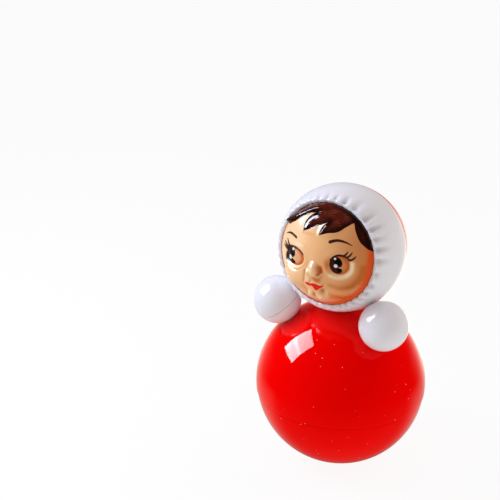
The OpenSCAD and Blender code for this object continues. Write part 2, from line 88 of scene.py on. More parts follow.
# %% [markdown]
# Almost every shell of the toy is a turned shape, so we need a lathe. Blender has a Screw modifier and a
# Spin tool, but both leave doubled points on the axis that have to be merged afterwards. Here the rings
# are one array, each pole is a single point, and the faces come from index arithmetic, so the mesh is
# closed from the start and its faces point outwards.

# %% Turn a profile into a closed mesh
def ring_quads(rows, columns, closed):
    """Four-cornered faces between neighbouring rings; closed also joins the last ring to the first."""
    row = np.arange(rows if closed else rows - 1)[:, None]
    column = np.arange(columns)[None, :]
    here = row * columns
    after = (row + 1) % rows * columns
    beside = (column + 1) % columns
    corners = [here + column, here + beside, after + beside, after + column]
    return np.stack(np.broadcast_arrays(*corners), axis=-1).reshape(-1, 4).tolist()


def ring_turns(columns):
    """Equal turns round the axis, in radians."""
    return 2 * np.pi * np.arange(columns) / columns


def turned_rings(profile, columns):
    """x = radius cos t, y = radius sin t, z = height, for each (radius, height) and each turn t."""
    turn = ring_turns(columns)
    radius = profile[:, :1]
    height = np.broadcast_to(profile[:, 1:], (len(profile), columns))
    return np.stack([radius * np.cos(turn), radius * np.sin(turn), height], axis=-1)


def ring_shell(rings):
    """Points and faces of rings that come back to their start without touching the axis."""
    rows, columns, _ = rings.shape
    return rings.reshape(-1, 3), ring_quads(rows, columns, True)


def close_poles(rings, first, last):
    """Points and faces of rings with a pole before them and one after, and fans that close both ends."""
    rows, columns, _ = rings.shape
    points = np.vstack([rings.reshape(-1, 3), first, last])
    column = np.arange(columns)
    beside = (column + 1) % columns
    end = (rows - 1) * columns
    low_fan = np.stack([np.full(columns, rows * columns), beside, column], axis=1)
    high_fan = np.stack([np.full(columns, rows * columns + 1), end + column, end + beside], axis=1)
    return points, ring_quads(rows, columns, False) + low_fan.tolist() + high_fan.tolist()


def lathe(profile, columns):
    """A profile that starts and ends on the axis, turned into a closed mesh."""
    rings = turned_rings(profile[1:-1], columns)
    return close_poles(rings, [0, 0, profile[0, 1]], [0, 0, profile[-1, 1]])


print("a ring of 4 columns and 3 rows has", len(ring_quads(3, 4, False)), "faces")

# %% [markdown]
# Moulded plastic never has a knife edge: a small round runs along every rim and catches a line of light.
# A Bevel modifier would do it, but on a dense lathe it is slow and it fights the smooth shading. We round
# the profile instead: each stretch is cut back at its ends, and a quadratic curve with the same two
# tangents takes the corner's place.

# %% Draw profiles with soft corners
ARC_POINTS = 72
RUN_POINTS = 5


def side_of(radius, height):
    """How far from the axis a ball's surface is at a height."""
    return np.sqrt(radius ** 2 - height ** 2)


def arc(radius, start, end):
    """Points at one radius from the profile's origin, from one height to another, away from the axis."""
    angle = np.linspace(np.arcsin(start / radius), np.arcsin(end / radius), ARC_POINTS)
    return radius * np.stack([np.cos(angle), np.sin(angle)], axis=1)


def runs(*corners):
    """Straight runs of points, one from each (radius, height) corner to the next."""
    return [np.linspace(start, end, RUN_POINTS) for start, end in zip(corners[:-1], corners[1:])]


def shortened(points, at_start, at_end):
    """The same stretch, cut back by a length at each end and spaced evenly along what is left."""
    length = np.r_[0, np.cumsum(np.hypot(*np.diff(points, axis=0).T))]
    spot = np.linspace(at_start, length[-1] - at_end, len(points))
    return np.stack([np.interp(spot, length, points[:, 0]), np.interp(spot, length, points[:, 1])], axis=1)


def soft_profile(stretches, corner, closed=False, softer=None):
    """Stretches joined end to end; each corner becomes (1-t)^2 before + 2t(1-t) corner + t^2 after.

    The corner at the end of stretch k is cut back by corner, or by softer[k] where that is given.
    """
    count = len(stretches)
    reach = np.full(count, float(corner))
    for k, cut_back in (softer or {}).items():
        reach[k] = cut_back
    if not closed:
        reach[-1] = 0
    cut = [shortened(points, reach[k - 1], reach[k]) for k, points in enumerate(stretches)]
    t = np.array([[0.25], [0.5], [0.75]])
    pieces = []
    for k in range(count):
        pieces.append(cut[k])
        if closed or k < count - 1:
            after = cut[(k + 1) % count][0]
            pieces.append((1 - t) ** 2 * cut[k][-1] + 2 * t * (1 - t) * stretches[k][-1] + t ** 2 * after)
    return np.vstack(pieces)


print("an arc of radius 10 from -5 to 5 has", len(arc(10, -5, 5)), "points")

# %% [markdown]
# Every finished piece must sit at the world's origin with its place in its mesh, as the solids do. A
# designer would usually move the object, and then apply the move. We put the place into the points
# before the mesh exists, so there is nothing to apply. Edges sharper than 40 degrees stay crisp.

# %% Make a piece, cut it and add to it
SHARP_EDGE = np.radians(40)
ROD_COLUMNS = 64


def placed(shape, origin, axes=UPRIGHT):
    """A shape in the doll's frame: origin + x times the first axis + y the second + z the third."""
    points, faces = shape
    return points @ axes + origin, faces


def add_object(name, data):
    """An object for a mesh, a lamp or a camera, linked to the scene."""
    made = bpy.data.objects.new(name, data)
    bpy.context.scene.collection.objects.link(made)
    return made


def shade(piece):
    """Smooth shading, with edges kept crisp where neighbouring faces turn sharply."""
    piece.data.shade_smooth()
    piece.data.set_sharp_from_angle(angle=SHARP_EDGE)


def make_piece(name, shape):
    """A mesh object from points in millimetres and faces as lists of point numbers."""
    points, faces = shape
    mesh = bpy.data.meshes.new(name)
    mesh.from_pydata((points * MM).tolist(), [], faces)
    mesh.validate()
    piece = add_object(name, mesh)
    shade(piece)
    return piece


def combine(piece, shape, operation="DIFFERENCE"):
    """Cuts a closed shape out of a piece, or joins it on, and leaves the plain result as its mesh."""
    tool = make_piece("tool", shape)
    change = piece.modifiers.new("change", "BOOLEAN")
    change.operation = operation
    change.solver = "EXACT"
    change.object = tool
    graph = bpy.context.evaluated_depsgraph_get()
    changed = bpy.data.meshes.new_from_object(piece.evaluated_get(graph))
    piece.modifiers.clear()
    piece.data = changed
    bpy.data.objects.remove(tool)
    shade(piece)


def rod(radius, low, high):
    """A plain closed rod about the axis, to cut holes with or to join on."""
    return lathe(np.array([[0, low], [radius, low], [radius, high], [0, high]]), ROD_COLUMNS)


def carry(piece, name, values):
    """Stores one number per point of a piece, for its material to read."""
    attribute = piece.data.attributes.new(name, "FLOAT", "POINT")
    attribute.data.foreach_set("value", np.ravel(values).astype(np.float32))


def report(piece):
    """Prints a piece's name and its number of triangles."""
    piece.data.calc_loop_triangles()
    print(piece.name, "has", len(piece.data.loop_triangles), "triangles")


print("edges sharper than", round(np.degrees(SHARP_EDGE)), "degrees stay crisp")

# %% [markdown]
# The lower half of the body is a thin red bowl. Under it the ball is flattened a little, so the toy can
# stand still, and round its rim a thin tongue stands up that the upper half slides over. Three posts
# inside take the screws of the weight. The bowl is turned from a profile. The posts aren't on its axis, so
# they are rods that a Boolean joins on, and a thinner rod cuts the screw's hole into each.

# %% Lower half of the body
SEAM_STEP = 0.4
BODY_WALL = 1.8
FOOT_R = 6
TONGUE_H = 4
TONGUE_T = 1.4
SEAT_GAP = 0.1
PRESS_GAP = 0.02
EDGE_ROUND = 0.15
SEAM_ROUND = 0.6
POSTS = 3
POST_CIRCLE = 21
POST_R = 3.5
SCREW_R = 1.5
SCREW_BITE = 7
BODY_COLUMNS = 224

LOWER_R = BODY_R - SEAM_STEP
LOWER_IN = LOWER_R - BODY_WALL
UPPER_IN = BODY_R - BODY_WALL
seam = -SEAM_DROP
foot = -side_of(LOWER_R, FOOT_R)
tongue_out = side_of(UPPER_IN, seam) - SEAT_GAP
tongue_in = tongue_out - TONGUE_T
tongue_top = seam + TONGUE_H
rim = seam - PRESS_GAP
root = seam - TONGUE_H
lower_profile = soft_profile([
    *runs((0, foot), (FOOT_R, foot)),
    arc(LOWER_R, foot, rim),
    *runs((side_of(LOWER_R, rim), rim), (tongue_out, rim), (tongue_out, tongue_top),
          (tongue_in, tongue_top), (tongue_in, root), (side_of(LOWER_IN, root), root)),
    arc(LOWER_IN, root, -LOWER_IN),
], EDGE_ROUND, softer={1: SEAM_ROUND})
body_lower = make_piece("body_lower", placed(lathe(lower_profile, BODY_COLUMNS), BODY_CENTRE))
post_top = box_mm("ballast_weight")[1][2] - SEAT_GAP
post_foot = BODY_CENTRE[2] - side_of(LOWER_IN + BODY_WALL / 2, POST_CIRCLE + POST_R)
hole_foot = box_mm("chime_plate")[0][2] - SCREW_BITE
for turn in np.radians(90 + 360 * np.arange(POSTS) / POSTS):
    spot = POST_CIRCLE * np.array([np.cos(turn), np.sin(turn), 0])
    combine(body_lower, placed(rod(POST_R, post_foot, post_top), spot), "UNION")
    combine(body_lower, placed(rod(SCREW_R + PRESS_GAP, hole_foot, post_top + SCREW_BITE), spot))
report(body_lower)

# %% [markdown]
# The upper half is a dome with a short neck. The neck stands a little in front of the body's axis, so the
# dome isn't quite a turned shape. We could turn the dome and the neck apart and join them with a Boolean.
# It is neater to let the rings slide: low rings are centred on the body, and the nearer a ring is to the
# neck, the more it follows the neck forward, while its points stay on the ball.

# %% Upper half of the body
NECK_R = 8.5
NECK_WALL = 2
COLLAR_R = NECK_R + 2
COLLAR_T = 1.6
SLIDE_FROM_R = 40
HEAD_RISE = HEAD_CENTRE[2] - BODY_CENTRE[2]
HEAD_FORWARD = -HEAD_CENTRE[1]
HOOD_WALL = 2
HEAD_IN = HEAD_R - HOOD_WALL
ON_BALL = 0.02


def ease(value):
    """0 below 0, 1 above 1, and the smooth step 3v^2 - 2v^3 between."""
    value = np.clip(value, 0, 1)
    return value * value * (3 - 2 * value)


def slide_to_neck(profile, rings):
    """Rings shifted forward by a smooth step of their radius; ball points get z = sqrt(R^2 - x^2 - y^2)."""
    shift = HEAD_FORWARD * ease((SLIDE_FROM_R - profile[:, 0]) / (SLIDE_FROM_R - NECK_R))
    slid = rings.copy()
    slid[:, :, 1] -= shift[:, None]
    flat = slid[:, :, 0] ** 2 + slid[:, :, 1] ** 2
    for radius in (BODY_R, UPPER_IN):
        on_ball = np.abs(np.hypot(profile[:, 0], profile[:, 1]) - radius) < ON_BALL
        rows = on_ball & (profile[:, 1] > 0)
        slid[rows, :, 2] = np.sqrt(radius ** 2 - flat[rows])
    return slid


collar_low = HEAD_RISE - side_of(HEAD_IN, COLLAR_R) + SEAT_GAP
collar_high = collar_low + COLLAR_T
bore = NECK_R - NECK_WALL
neck_foot = side_of(BODY_R, NECK_R)
bore_foot = side_of(UPPER_IN, bore)
upper_profile = soft_profile([
    arc(BODY_R, seam, neck_foot),
    *runs((NECK_R, neck_foot), (NECK_R, collar_low), (COLLAR_R, collar_low), (COLLAR_R, collar_high),
          (bore, collar_high), (bore, bore_foot)),
    arc(UPPER_IN, bore_foot, seam),
    *runs((side_of(UPPER_IN, seam), seam), (side_of(BODY_R, seam), seam)),
], EDGE_ROUND, closed=True, softer={7: SEAM_ROUND})
rings = slide_to_neck(upper_profile, turned_rings(upper_profile, BODY_COLUMNS))
body_upper = make_piece("body_upper", placed(ring_shell(rings), BODY_CENTRE))
report(body_upper)

# %% [markdown]
# The mittens are hollow white balls, each pressed together from an outer cup and an inner cup. The inner
# cup is hollowed to sit on the body, and a peg on it passes through the dome to a push-on clip. A Boolean
# could cut the hollow. But both cups are turned about the line from the body's centre to the mitten's, so
# the hollow is just one more arc in the profile.

# %% Profiles of a mitten's two cups
MITTEN_R = 13.5
MITTEN_WALL = 1.5
MITTEN_SETBACK = 3.4
MITTEN_TONGUE_H = 2
PEG_R = 3
PEG_TAIL = 1.2
CLIP_R = 6.5
CLIP_T = 1.2
SEAT_POINTS = 24
MITTEN_COLUMNS = 128

mitten_low, mitten_high = box_mm("mitten_outer_left")
mitten_centre = np.array([mitten_high[0] - MITTEN_R, mitten_low[1] + MITTEN_R, mitten_high[2] - MITTEN_R])
MITTEN_REACH = np.linalg.norm(mitten_centre - BODY_CENTRE)
mitten_in = MITTEN_R - MITTEN_WALL
parting = -MITTEN_SETBACK
part_low = parting - PRESS_GAP
part_top = parting + MITTEN_TONGUE_H
tongue_side = side_of(mitten_in, parting) - SEAT_GAP
tongue_bore = tongue_side - MITTEN_WALL
tongue_low = -side_of(mitten_in, tongue_bore)
floor_level = -(mitten_in - MITTEN_WALL)
peg_end = side_of(UPPER_IN, CLIP_R) - PRESS_GAP - CLIP_T - PEG_TAIL - MITTEN_REACH
seat_r = BODY_R + PRESS_GAP
meet = (seat_r ** 2 - MITTEN_R ** 2 - MITTEN_REACH ** 2) / (2 * MITTEN_REACH)
seat_edge = np.arcsin(side_of(MITTEN_R, meet) / seat_r)
seat_angle = np.linspace(np.arcsin(PEG_R / seat_r), seat_edge, SEAT_POINTS)
seat_run = np.stack([seat_r * np.sin(seat_angle), seat_r * np.cos(seat_angle) - MITTEN_REACH], axis=1)

outer_profile = soft_profile([
    arc(mitten_in, mitten_in, parting),
    *runs((side_of(mitten_in, parting), parting), (side_of(MITTEN_R, parting), parting)),
    arc(MITTEN_R, parting, MITTEN_R),
], EDGE_ROUND, softer={1: SEAM_ROUND})
inner_profile = soft_profile([
    *runs((0, peg_end), (PEG_R, peg_end), seat_run[0]),
    seat_run,
    arc(MITTEN_R, meet, part_low),
    *runs((side_of(MITTEN_R, part_low), part_low), (tongue_side, part_low), (tongue_side, part_top),
          (tongue_bore, part_top), (tongue_bore, tongue_low)),
    arc(mitten_in, tongue_low, floor_level),
    *runs((side_of(mitten_in, floor_level), floor_level), (0, floor_level)),
], EDGE_ROUND, softer={3: SEAM_ROUND})
print("the outer cup's profile has", len(outer_profile), "points, the inner cup's", len(inner_profile))

# %% [markdown]
# One pair of profiles serves both sides. The right mitten could be a mirror image of the left, but a mirror
# turns a mesh inside out, so each side gets a frame of its own, whose z points away from the body's centre.
# A rod in the same frame drills the dome for the peg.

# %% Mittens
def mitten_frame(side):
    """A mitten's centre and axes: z out from the body's centre, x level, y the third direction."""
    centre = mitten_centre * [side, 1, 1]
    out = (centre - BODY_CENTRE) / MITTEN_REACH
    level = np.cross([0, 0, 1], out)
    level = level / np.linalg.norm(level)
    return centre, np.array([level, np.cross(out, level), out])


mittens = {}
for side, word in ((1, "left"), (-1, "right")):
    place = mitten_frame(side)
    for cup, profile in (("outer", outer_profile), ("inner", inner_profile)):
        mitten = make_piece(f"{word}_mitten_{cup}_cup", placed(lathe(profile, MITTEN_COLUMNS), *place))
        mittens[f"mitten_{cup}_{word}"] = mitten
        report(mitten)
    combine(body_upper, placed(rod(PEG_R + PRESS_GAP, peg_end, floor_level), *place))
report(body_upper)

# %% [markdown]
# The hood is the white ball of the head, open in front, and its rim is moulded like gathered cloth: a
# rolled band, and some three dozen pleats that pinch in behind it and fade out over the hood. They aren't
# evenly spaced, so the turn of each round the opening is listed. They could be sculpted one by one, but a
# formula is exact, and it can say where the gathers are longest, deepest and calmest.

# %% Gathers round the hood's opening
GATHER_TURNS = np.radians([
    4, 15, 26, 36, 48, 64, 76, 86, 95, 105, 113, 121, 129, 138, 148, 158, 168, 178, 188, 198, 208, 218, 228,
    238, 247, 256, 265, 274, 283, 292, 299, 307, 316, 325, 335, 349,
])
GATHERS = len(GATHER_TURNS)
GATHER_REACH = np.radians(24.3)
# A gather's length in reaches: what all have, what the long ones add, and a wave round the opening.
PLAIN_LENGTH = 0.3
ADDED_LENGTH = 0.55
WAVE = 0.1
WAVES = 7
WAVE_START = np.radians(80)
# Depths in millimetres; the halves of notch and scallop in gathers; what lies across the rim in band widths.
NOTCH_DEPTH = 2.5
NOTCH_HALF = 0.2
NOTCH_WHOLE = 0.4
NOTCH_FADES = 0.8
NOTCH_FADE = 1.4
PLEAT_DEPTH = 2.4
PLEAT_POINTED = 1.5
DEEPEST = 1.85
BAND_GROOVE = 0.22
GROOVE_PLACE = 0.9
GROOVE_HALF = 0.3
SCALLOP_HALF = 0.17
# How steeply something grows from the edge: at 4 it is whole a quarter of the way across the band.
PLEAT_GROWTH = 1.4
PLEAT_START = 2.5
RIM_START = 4
# What the calm side loses, and how the gathers vary about a mean from one to the next.
CALM = 0.7
UNEVEN_MEAN = 0.82
UNEVEN = 0.25
UNEVEN_STEP = 2.3
BAND = 2.2 / HEAD_R
SCALLOP = 0.8 / HEAD_R
OPENING_FRONT = 18
OPENING = np.arccos(OPENING_FRONT / HEAD_IN)
# Where something is strongest: degrees round the opening, how wide that place is, and the least elsewhere.
LONG_GATHERS = (35, 0.5, 0)
DEEP_PLEATS = (35, 0.4, 0.3)
DEEP_NOTCHES = (-42, 0.4, 0.35)
DEEP_SCALLOPS = (-52, 0.15, 0.25)
CALM_SIDE = (122, 0.22, 0)


def toward(turn, degrees, width, least):
    """From least up to 1 at one turn: e to the power (cosine of the turn from there - 1) / width."""
    return least + (1 - least) * np.exp((np.cos(turn - np.radians(degrees)) - 1) / width)


def from_gather(count):
    """How far a count is from the nearest gather, from 0 to one half."""
    return np.abs((count + 0.5) % 1 - 0.5)


def gather_depth(count, turn, lean):
    """How deep the rim is drawn in: a groove, a notch per gather and its pleat, at most DEEPEST.

    The notch is a short pit behind the band. The pleat is a wider valley that starts on the band and eases
    out over the gather's length. One side is calmer, and no two neighbours are alike.
    """
    across = (lean - OPENING) / BAND
    length = PLAIN_LENGTH + ADDED_LENGTH * toward(turn, *LONG_GATHERS)
    length = length + WAVE * np.sin(WAVES * turn + WAVE_START)
    past = (lean - OPENING - BAND / 2) / (GATHER_REACH * length)
    groove = BAND_GROOVE * np.exp(-((across - GROOVE_PLACE) / GROOVE_HALF) ** 2)
    notch = NOTCH_DEPTH * toward(turn, *DEEP_NOTCHES) * np.exp(-(from_gather(count) / NOTCH_HALF) ** 2)
    notch = notch * ease(across / NOTCH_WHOLE) * (1 - ease((across - NOTCH_FADES) / NOTCH_FADE))
    valley = (0.5 + 0.5 * np.cos(2 * np.pi * count)) ** PLEAT_POINTED
    pleat = PLEAT_DEPTH * toward(turn, *DEEP_PLEATS) * valley
    pleat = pleat * np.where(past < 0, ease(PLEAT_GROWTH * across), 1 - ease(past))
    pleat = pleat * ease(PLEAT_START * across)
    calm = 1 - CALM * toward(turn, *CALM_SIDE)
    uneven = UNEVEN_MEAN + UNEVEN * np.sin(UNEVEN_STEP * np.round(count))
    depth = np.where(across > 0.5, groove, 0) + (notch + pleat) * calm * uneven
    return DEEPEST * np.tanh(depth / DEEPEST) * ease(RIM_START * across)


def scalloped(count, turn, lean):
    """The lean, drawn back at each gather near the edge, most on the doll's lower left."""
    depth = SCALLOP * toward(turn, *DEEP_SCALLOPS) * np.exp(-(from_gather(count) / SCALLOP_HALF) ** 2)
    return lean + depth * (1 - ease((lean - OPENING) / (2 * BAND)))


print(GATHERS, "gathers round an opening", round(2 * HEAD_IN * np.sin(OPENING), 1), "mm wide")

# %% [markdown]
# The hood itself is one grid. One parameter counts the gathers. The other runs from the back of the hood to
# the band and home inside, with its rings closest where the folds are. A Solidify modifier could give the
# wall, but the band's roll has to join both sides smoothly. Each point also keeps how deep it lies, so that
# the folds can be darkened with painted shade.

# %% Hood
CAP_EDGE = np.pi / 2 + np.arcsin(CAP_SETBACK / HEAD_R)
CAP_EDGE_IN = np.pi / 2 + np.arcsin(CAP_SETBACK / HEAD_IN)
STEPS_PER_GATHER = 20
BACK_RINGS = 14
FOLD_RINGS = 44
BAND_RINGS = 16
ROLL_RINGS = 12
INSIDE_RINGS = 8


def polar(radius, lean, turn):
    """Points at a radius, leaned away from the z axis and turned about it."""
    return np.stack([radius * np.sin(lean) * np.cos(turn), radius * np.sin(lean) * np.sin(turn),
                     radius * np.cos(lean) + 0 * turn], axis=-1)


def hood_radius(depth, lean):
    """A quarter-round roll at the edge, then the ball, less the depth of the gathers."""
    across = (lean - OPENING) / BAND
    roll = np.sqrt(np.clip(1 - (1 - 2 * np.minimum(across, 0.5)) ** 2, 0, 1))
    return HEAD_IN + HOOD_WALL * roll - depth


band_end = OPENING + BAND
fold_end = band_end + GATHER_REACH
outside_leans = np.concatenate([
    np.linspace(CAP_EDGE, fold_end, BACK_RINGS, endpoint=False),
    np.linspace(fold_end, band_end, FOLD_RINGS, endpoint=False),
    np.linspace(band_end, OPENING + BAND / 2, BAND_RINGS, endpoint=False),
    OPENING + BAND / 2 * (1 - np.sin(np.linspace(0, np.pi / 2, ROLL_RINGS))),
])[:, None]
inside_leans = np.linspace(OPENING, CAP_EDGE_IN, INSIDE_RINGS + 1)[1:, None]
count = np.arange(GATHERS * STEPS_PER_GATHER) / STEPS_PER_GATHER
turn = np.interp(count, np.arange(GATHERS + 1), np.r_[GATHER_TURNS, GATHER_TURNS[0] + 2 * np.pi])
depth = gather_depth(count, turn, outside_leans)
outside = polar(hood_radius(depth, outside_leans), scalloped(count, turn, outside_leans), turn)
inside = polar(HEAD_IN, scalloped(count, turn, inside_leans), turn)
hood_rings = np.concatenate([outside, inside])
hood = make_piece("hood_shell", placed(ring_shell(hood_rings), HEAD_CENTRE, FACE_AXES))
# The fold depth is kept so that the material can darken the folds with painted shade.
carry(hood, "fold_shade", np.concatenate([depth / DEEPEST, np.zeros(inside.shape[:2])]))
report(hood)

# %% [markdown]
# The back of the head is a red cap that the hood's rear edge sits on. It is turned about the axis of the
# face. Where the neck enters the head, a round hole passes through hood and cap alike, and its edge rests
# on the body. We could leave gaps in the grids, but it is simpler to drill both pieces with one rod.

# %% Back cap of the head and the neck's hole
CAP_TONGUE_H = 3
CAP_TONGUE_T = 1.2
HEAD_COLUMNS = 160
CUT_PAST = 1

cap_rim = -CAP_SETBACK - PRESS_GAP
cap_tongue = side_of(HEAD_IN, CAP_SETBACK) - SEAT_GAP
cap_bore = cap_tongue - CAP_TONGUE_T
cap_top = -CAP_SETBACK + CAP_TONGUE_H
cap_root = -CAP_SETBACK - CAP_TONGUE_H
cap_profile = soft_profile([
    arc(HEAD_R, -HEAD_R, cap_rim),
    *runs((side_of(HEAD_R, cap_rim), cap_rim), (cap_tongue, cap_rim), (cap_tongue, cap_top),
          (cap_bore, cap_top), (cap_bore, cap_root), (side_of(HEAD_IN, cap_root), cap_root)),
    arc(HEAD_IN, cap_root, -HEAD_IN),
], EDGE_ROUND)
back_cap = make_piece("back_cap", placed(lathe(cap_profile, HEAD_COLUMNS), HEAD_CENTRE, FACE_AXES))
neck_hole = rod(NECK_R + SEAT_GAP, -HEAD_R - CUT_PAST, collar_high - HEAD_RISE)
room_low = collar_low - SEAT_GAP - HEAD_RISE
room_high = collar_high + SEAT_GAP - HEAD_RISE
collar_room = rod(COLLAR_R + SEAT_GAP, room_low, room_high)
combine(hood, placed(neck_hole, HEAD_CENTRE))
for hole in (neck_hole, collar_room):
    combine(back_cap, placed(hole, HEAD_CENTRE))
report(hood)
report(back_cap)

# %% [markdown]
# The face is one flesh-coloured plate with a fringe of hair moulded into it, and paint laid over. It is a
# polar grid: rings round the face's axis, dense enough for fine paint. A subdivided plane would waste
# points at the hidden border. All that follows is worked out at the points of this grid.

# %% Grid of the face plate
FACE_GAP = 0.1
FACE_LAP = 4
FACE_ROWS = 150
FACE_COLUMNS = 480

FACE_R = HEAD_IN - FACE_GAP
FACE_EDGE = OPENING + FACE_LAP / FACE_R
hidden_leans = [FACE_EDGE, (FACE_EDGE + OPENING) / 2]
front_leans = np.r_[hidden_leans, np.linspace(OPENING, 0, FACE_ROWS, endpoint=False)][:, None]
face_turns = ring_turns(FACE_COLUMNS)
face_x = FACE_R * np.sin(front_leans) * np.cos(face_turns)
face_y = FACE_R * np.sin(front_leans) * np.sin(face_turns)
print("the face's grid has", face_x.size, "points, up to", round(face_x.max(), 1), "mm from its middle")

# %% [markdown]
# The paint has crisp edges, so it can't be a blurred mask. We draw each painted shape as a short outline in
# millimetres on the face, smooth it with a Catmull-Rom curve, and measure the signed distance from every
# point of the grid to it. A Bezier curve and a Knife Project would cut the mesh along it, but a distance
# leaves the grid whole. A point listed twice is a sharp corner.

# %% Outlines on the face
FRINGE = [
    (-34, 12), (-24.5, 12.6), (-21.8, 12.9), (-21.8, 12.9), (-17.4, 15.0), (-14.4, 16.9), (-10.1, 19.6),
    (-7.2, 21.3), (-4.6, 21.9), (-4.6, 21.9), (-6.4, 20.3), (-7.9, 18.3), (-8.7, 15.9), (-8.7, 12.9),
    (-8.7, 12.9), (-6.1, 14.0), (-3.6, 15.1), (-1.0, 16.5), (1.7, 17.6), (4.2, 18.8), (4.2, 18.8),
    (2.7, 17.3), (1.8, 15.3), (1.3, 12.8), (1.3, 12.8), (3.6, 13.5), (6.1, 14.4), (8.9, 15.1), (10.8, 16.1),
    (13.0, 18.2), (15.9, 20.6), (15.9, 20.6), (16.8, 18.8), (17.9, 16.7), (20.5, 12.6), (22.3, 10.5),
    (25.2, 7.9), (25.2, 7.9), (34, 6), (34, 36), (-34, 36),
]
LIPS = [
    (-3.9, -12.3), (-3.9, -12.3), (-2.2, -12.2), (-0.7, -12.7), (0.2, -12.2), (2.3, -12.1), (4.2, -12.6),
    (5.8, -12.9), (6.0, -13.5), (4.6, -14.2), (3.3, -15.4), (2.1, -16.1), (1.0, -15.2), (0.2, -13.9),
    (-1.5, -13.9), (-2.9, -13.6),
]
CURVE_STEPS = 6


def smooth_line(points, closed):
    """Catmull-Rom curve through the points: each stretch blends its four nearest points as a cubic."""
    points = np.array(points, dtype=float)
    if closed:
        ends = np.vstack([points[-1:], points, points[:2]])
    else:
        ends = np.vstack([2 * points[:1] - points[1:2], points, 2 * points[-1:] - points[-2:-1]])
    t = np.linspace(0, 1, CURVE_STEPS, endpoint=False)[None, :, None]
    a, b, c, d = (ends[k : len(ends) - 3 + k, None, :] for k in range(4))
    bend = (2 * a - 5 * b + 4 * c - d) * t ** 2 + (3 * b - a - 3 * c + d) * t ** 3
    curve = (0.5 * (2 * b + (c - a) * t + bend)).reshape(-1, 2)
    return np.vstack([curve, curve[:1] if closed else points[-1:]])


def nearest_on(points, closed=False):
    """From the grid to a smoothed line: the least distance, how far along that is, and on which side.

    The stretches of the line are tried in turn. Along runs from 0 to 1, and the side is the sign of a cross
    product: 1 on the line's right, -1 on its left.
    """
    path = smooth_line(points, closed)
    length = np.r_[0, np.cumsum(np.hypot(*np.diff(path, axis=0).T))]
    least = np.full(face_x.shape, np.inf)
    along = np.zeros(face_x.shape)
    side = np.zeros(face_x.shape)
    for (ax, ay), (bx, by), before, after in zip(path[:-1], path[1:], length[:-1], length[1:]):
        if after == before:
            continue
        off_x, off_y, run_x, run_y = face_x - ax, face_y - ay, bx - ax, by - ay
        share = np.clip((off_x * run_x + off_y * run_y) / (run_x ** 2 + run_y ** 2), 0, 1)
        away = np.hypot(off_x - share * run_x, off_y - share * run_y)
        near = away < least
        least = np.where(near, away, least)
        along = np.where(near, before + share * (after - before), along)
        side = np.where(near, np.sign(off_x * run_y - off_y * run_x), side)
    return least, along / length[-1], side


def signed_distance(outline):
    """Distance to a closed outline, below 0 inside, where a level ray crosses it an odd number of times."""
    path = smooth_line(outline, True)
    crossings = np.zeros(face_x.shape, dtype=int)
    for (ax, ay), (bx, by) in zip(path[:-1], path[1:]):
        if ay != by:
            crossing_x = ax + (face_y - ay) * (bx - ax) / (by - ay)
            crossings += ((ay > face_y) != (by > face_y)) & (face_x < crossing_x)
    away, _, _ = nearest_on(outline, True)
    return np.where(crossings % 2 == 1, -away, away)


hair_edge = signed_distance(FRINGE)
lip_edge = signed_distance(LIPS)
print("hair covers", round(100 * np.mean(hair_edge < 0)), "percent of the grid's points")

# %% [markdown]
# The eyes look to one side. In each, a dark iris carries a black pupil, a black spot low down and two
# white glints, and a flesh-coloured wedge cuts into it from the other side. A lid line, three lashes and
# a brow are brush strokes: a curve with a width that tapers along it. Grease Pencil could draw them, but
# as distances they take the same road as the other paint.

# %% Eyes, lashes and brows
# Each eye's middle x and y and its half width and height: the doll's left is 1, its right is -1.
EYES = {1: (13.9, -1.0, 4.9, 5.2), -1: (-12.3, -1.3, 6.4, 4.7)}
IRISES = [
    [(9.1, -0.9), (9.6, 1.5), (11.2, 3.2), (13.4, 3.1), (15.1, 1.5), (15.5, -0.4), (14.9, -1.7),
     (13.6, -2.0), (13.6, -2.0), (14.3, -2.6), (15.5, -3.4), (15.3, -4.8), (13.9, -5.7), (11.8, -5.4),
     (10.1, -3.8)],
    [(-19.4, -2.0), (-18.7, 0.6), (-16.9, 2.6), (-14.8, 3.0), (-12.6, 1.7), (-11.9, -0.2), (-12.9, -1.7),
     (-14.5, -2.4), (-14.5, -2.4), (-12.8, -3.3), (-11.5, -4.3), (-12.8, -5.6), (-15.6, -5.5),
     (-18.3, -4.6)],
]
PUPILS = [
    [(11.3, 1.1), (13.1, 2.6), (15.0, 1.1), (14.8, -0.7), (13.4, -1.2), (11.8, -0.1)],
    [(-16.9, 0.9), (-14.9, 2.3), (-12.7, 1.0), (-12.4, -0.5), (-14.0, -1.5), (-16.2, -0.4)],
    [(13.2, -2.9), (14.9, -2.7), (15.5, -3.5), (14.7, -4.8), (13.4, -4.8)],
    [(-14.5, -3.5), (-12.7, -3.5), (-11.7, -4.4), (-12.7, -5.4), (-14.4, -5.3)],
]
# A glint's x, y and radius.
GLINTS = [(11.7, 2.3, 0.6), (12.4, -1.5, 0.95), (-14.2, 2.3, 0.75), (-15.7, -2.5, 1.25)]
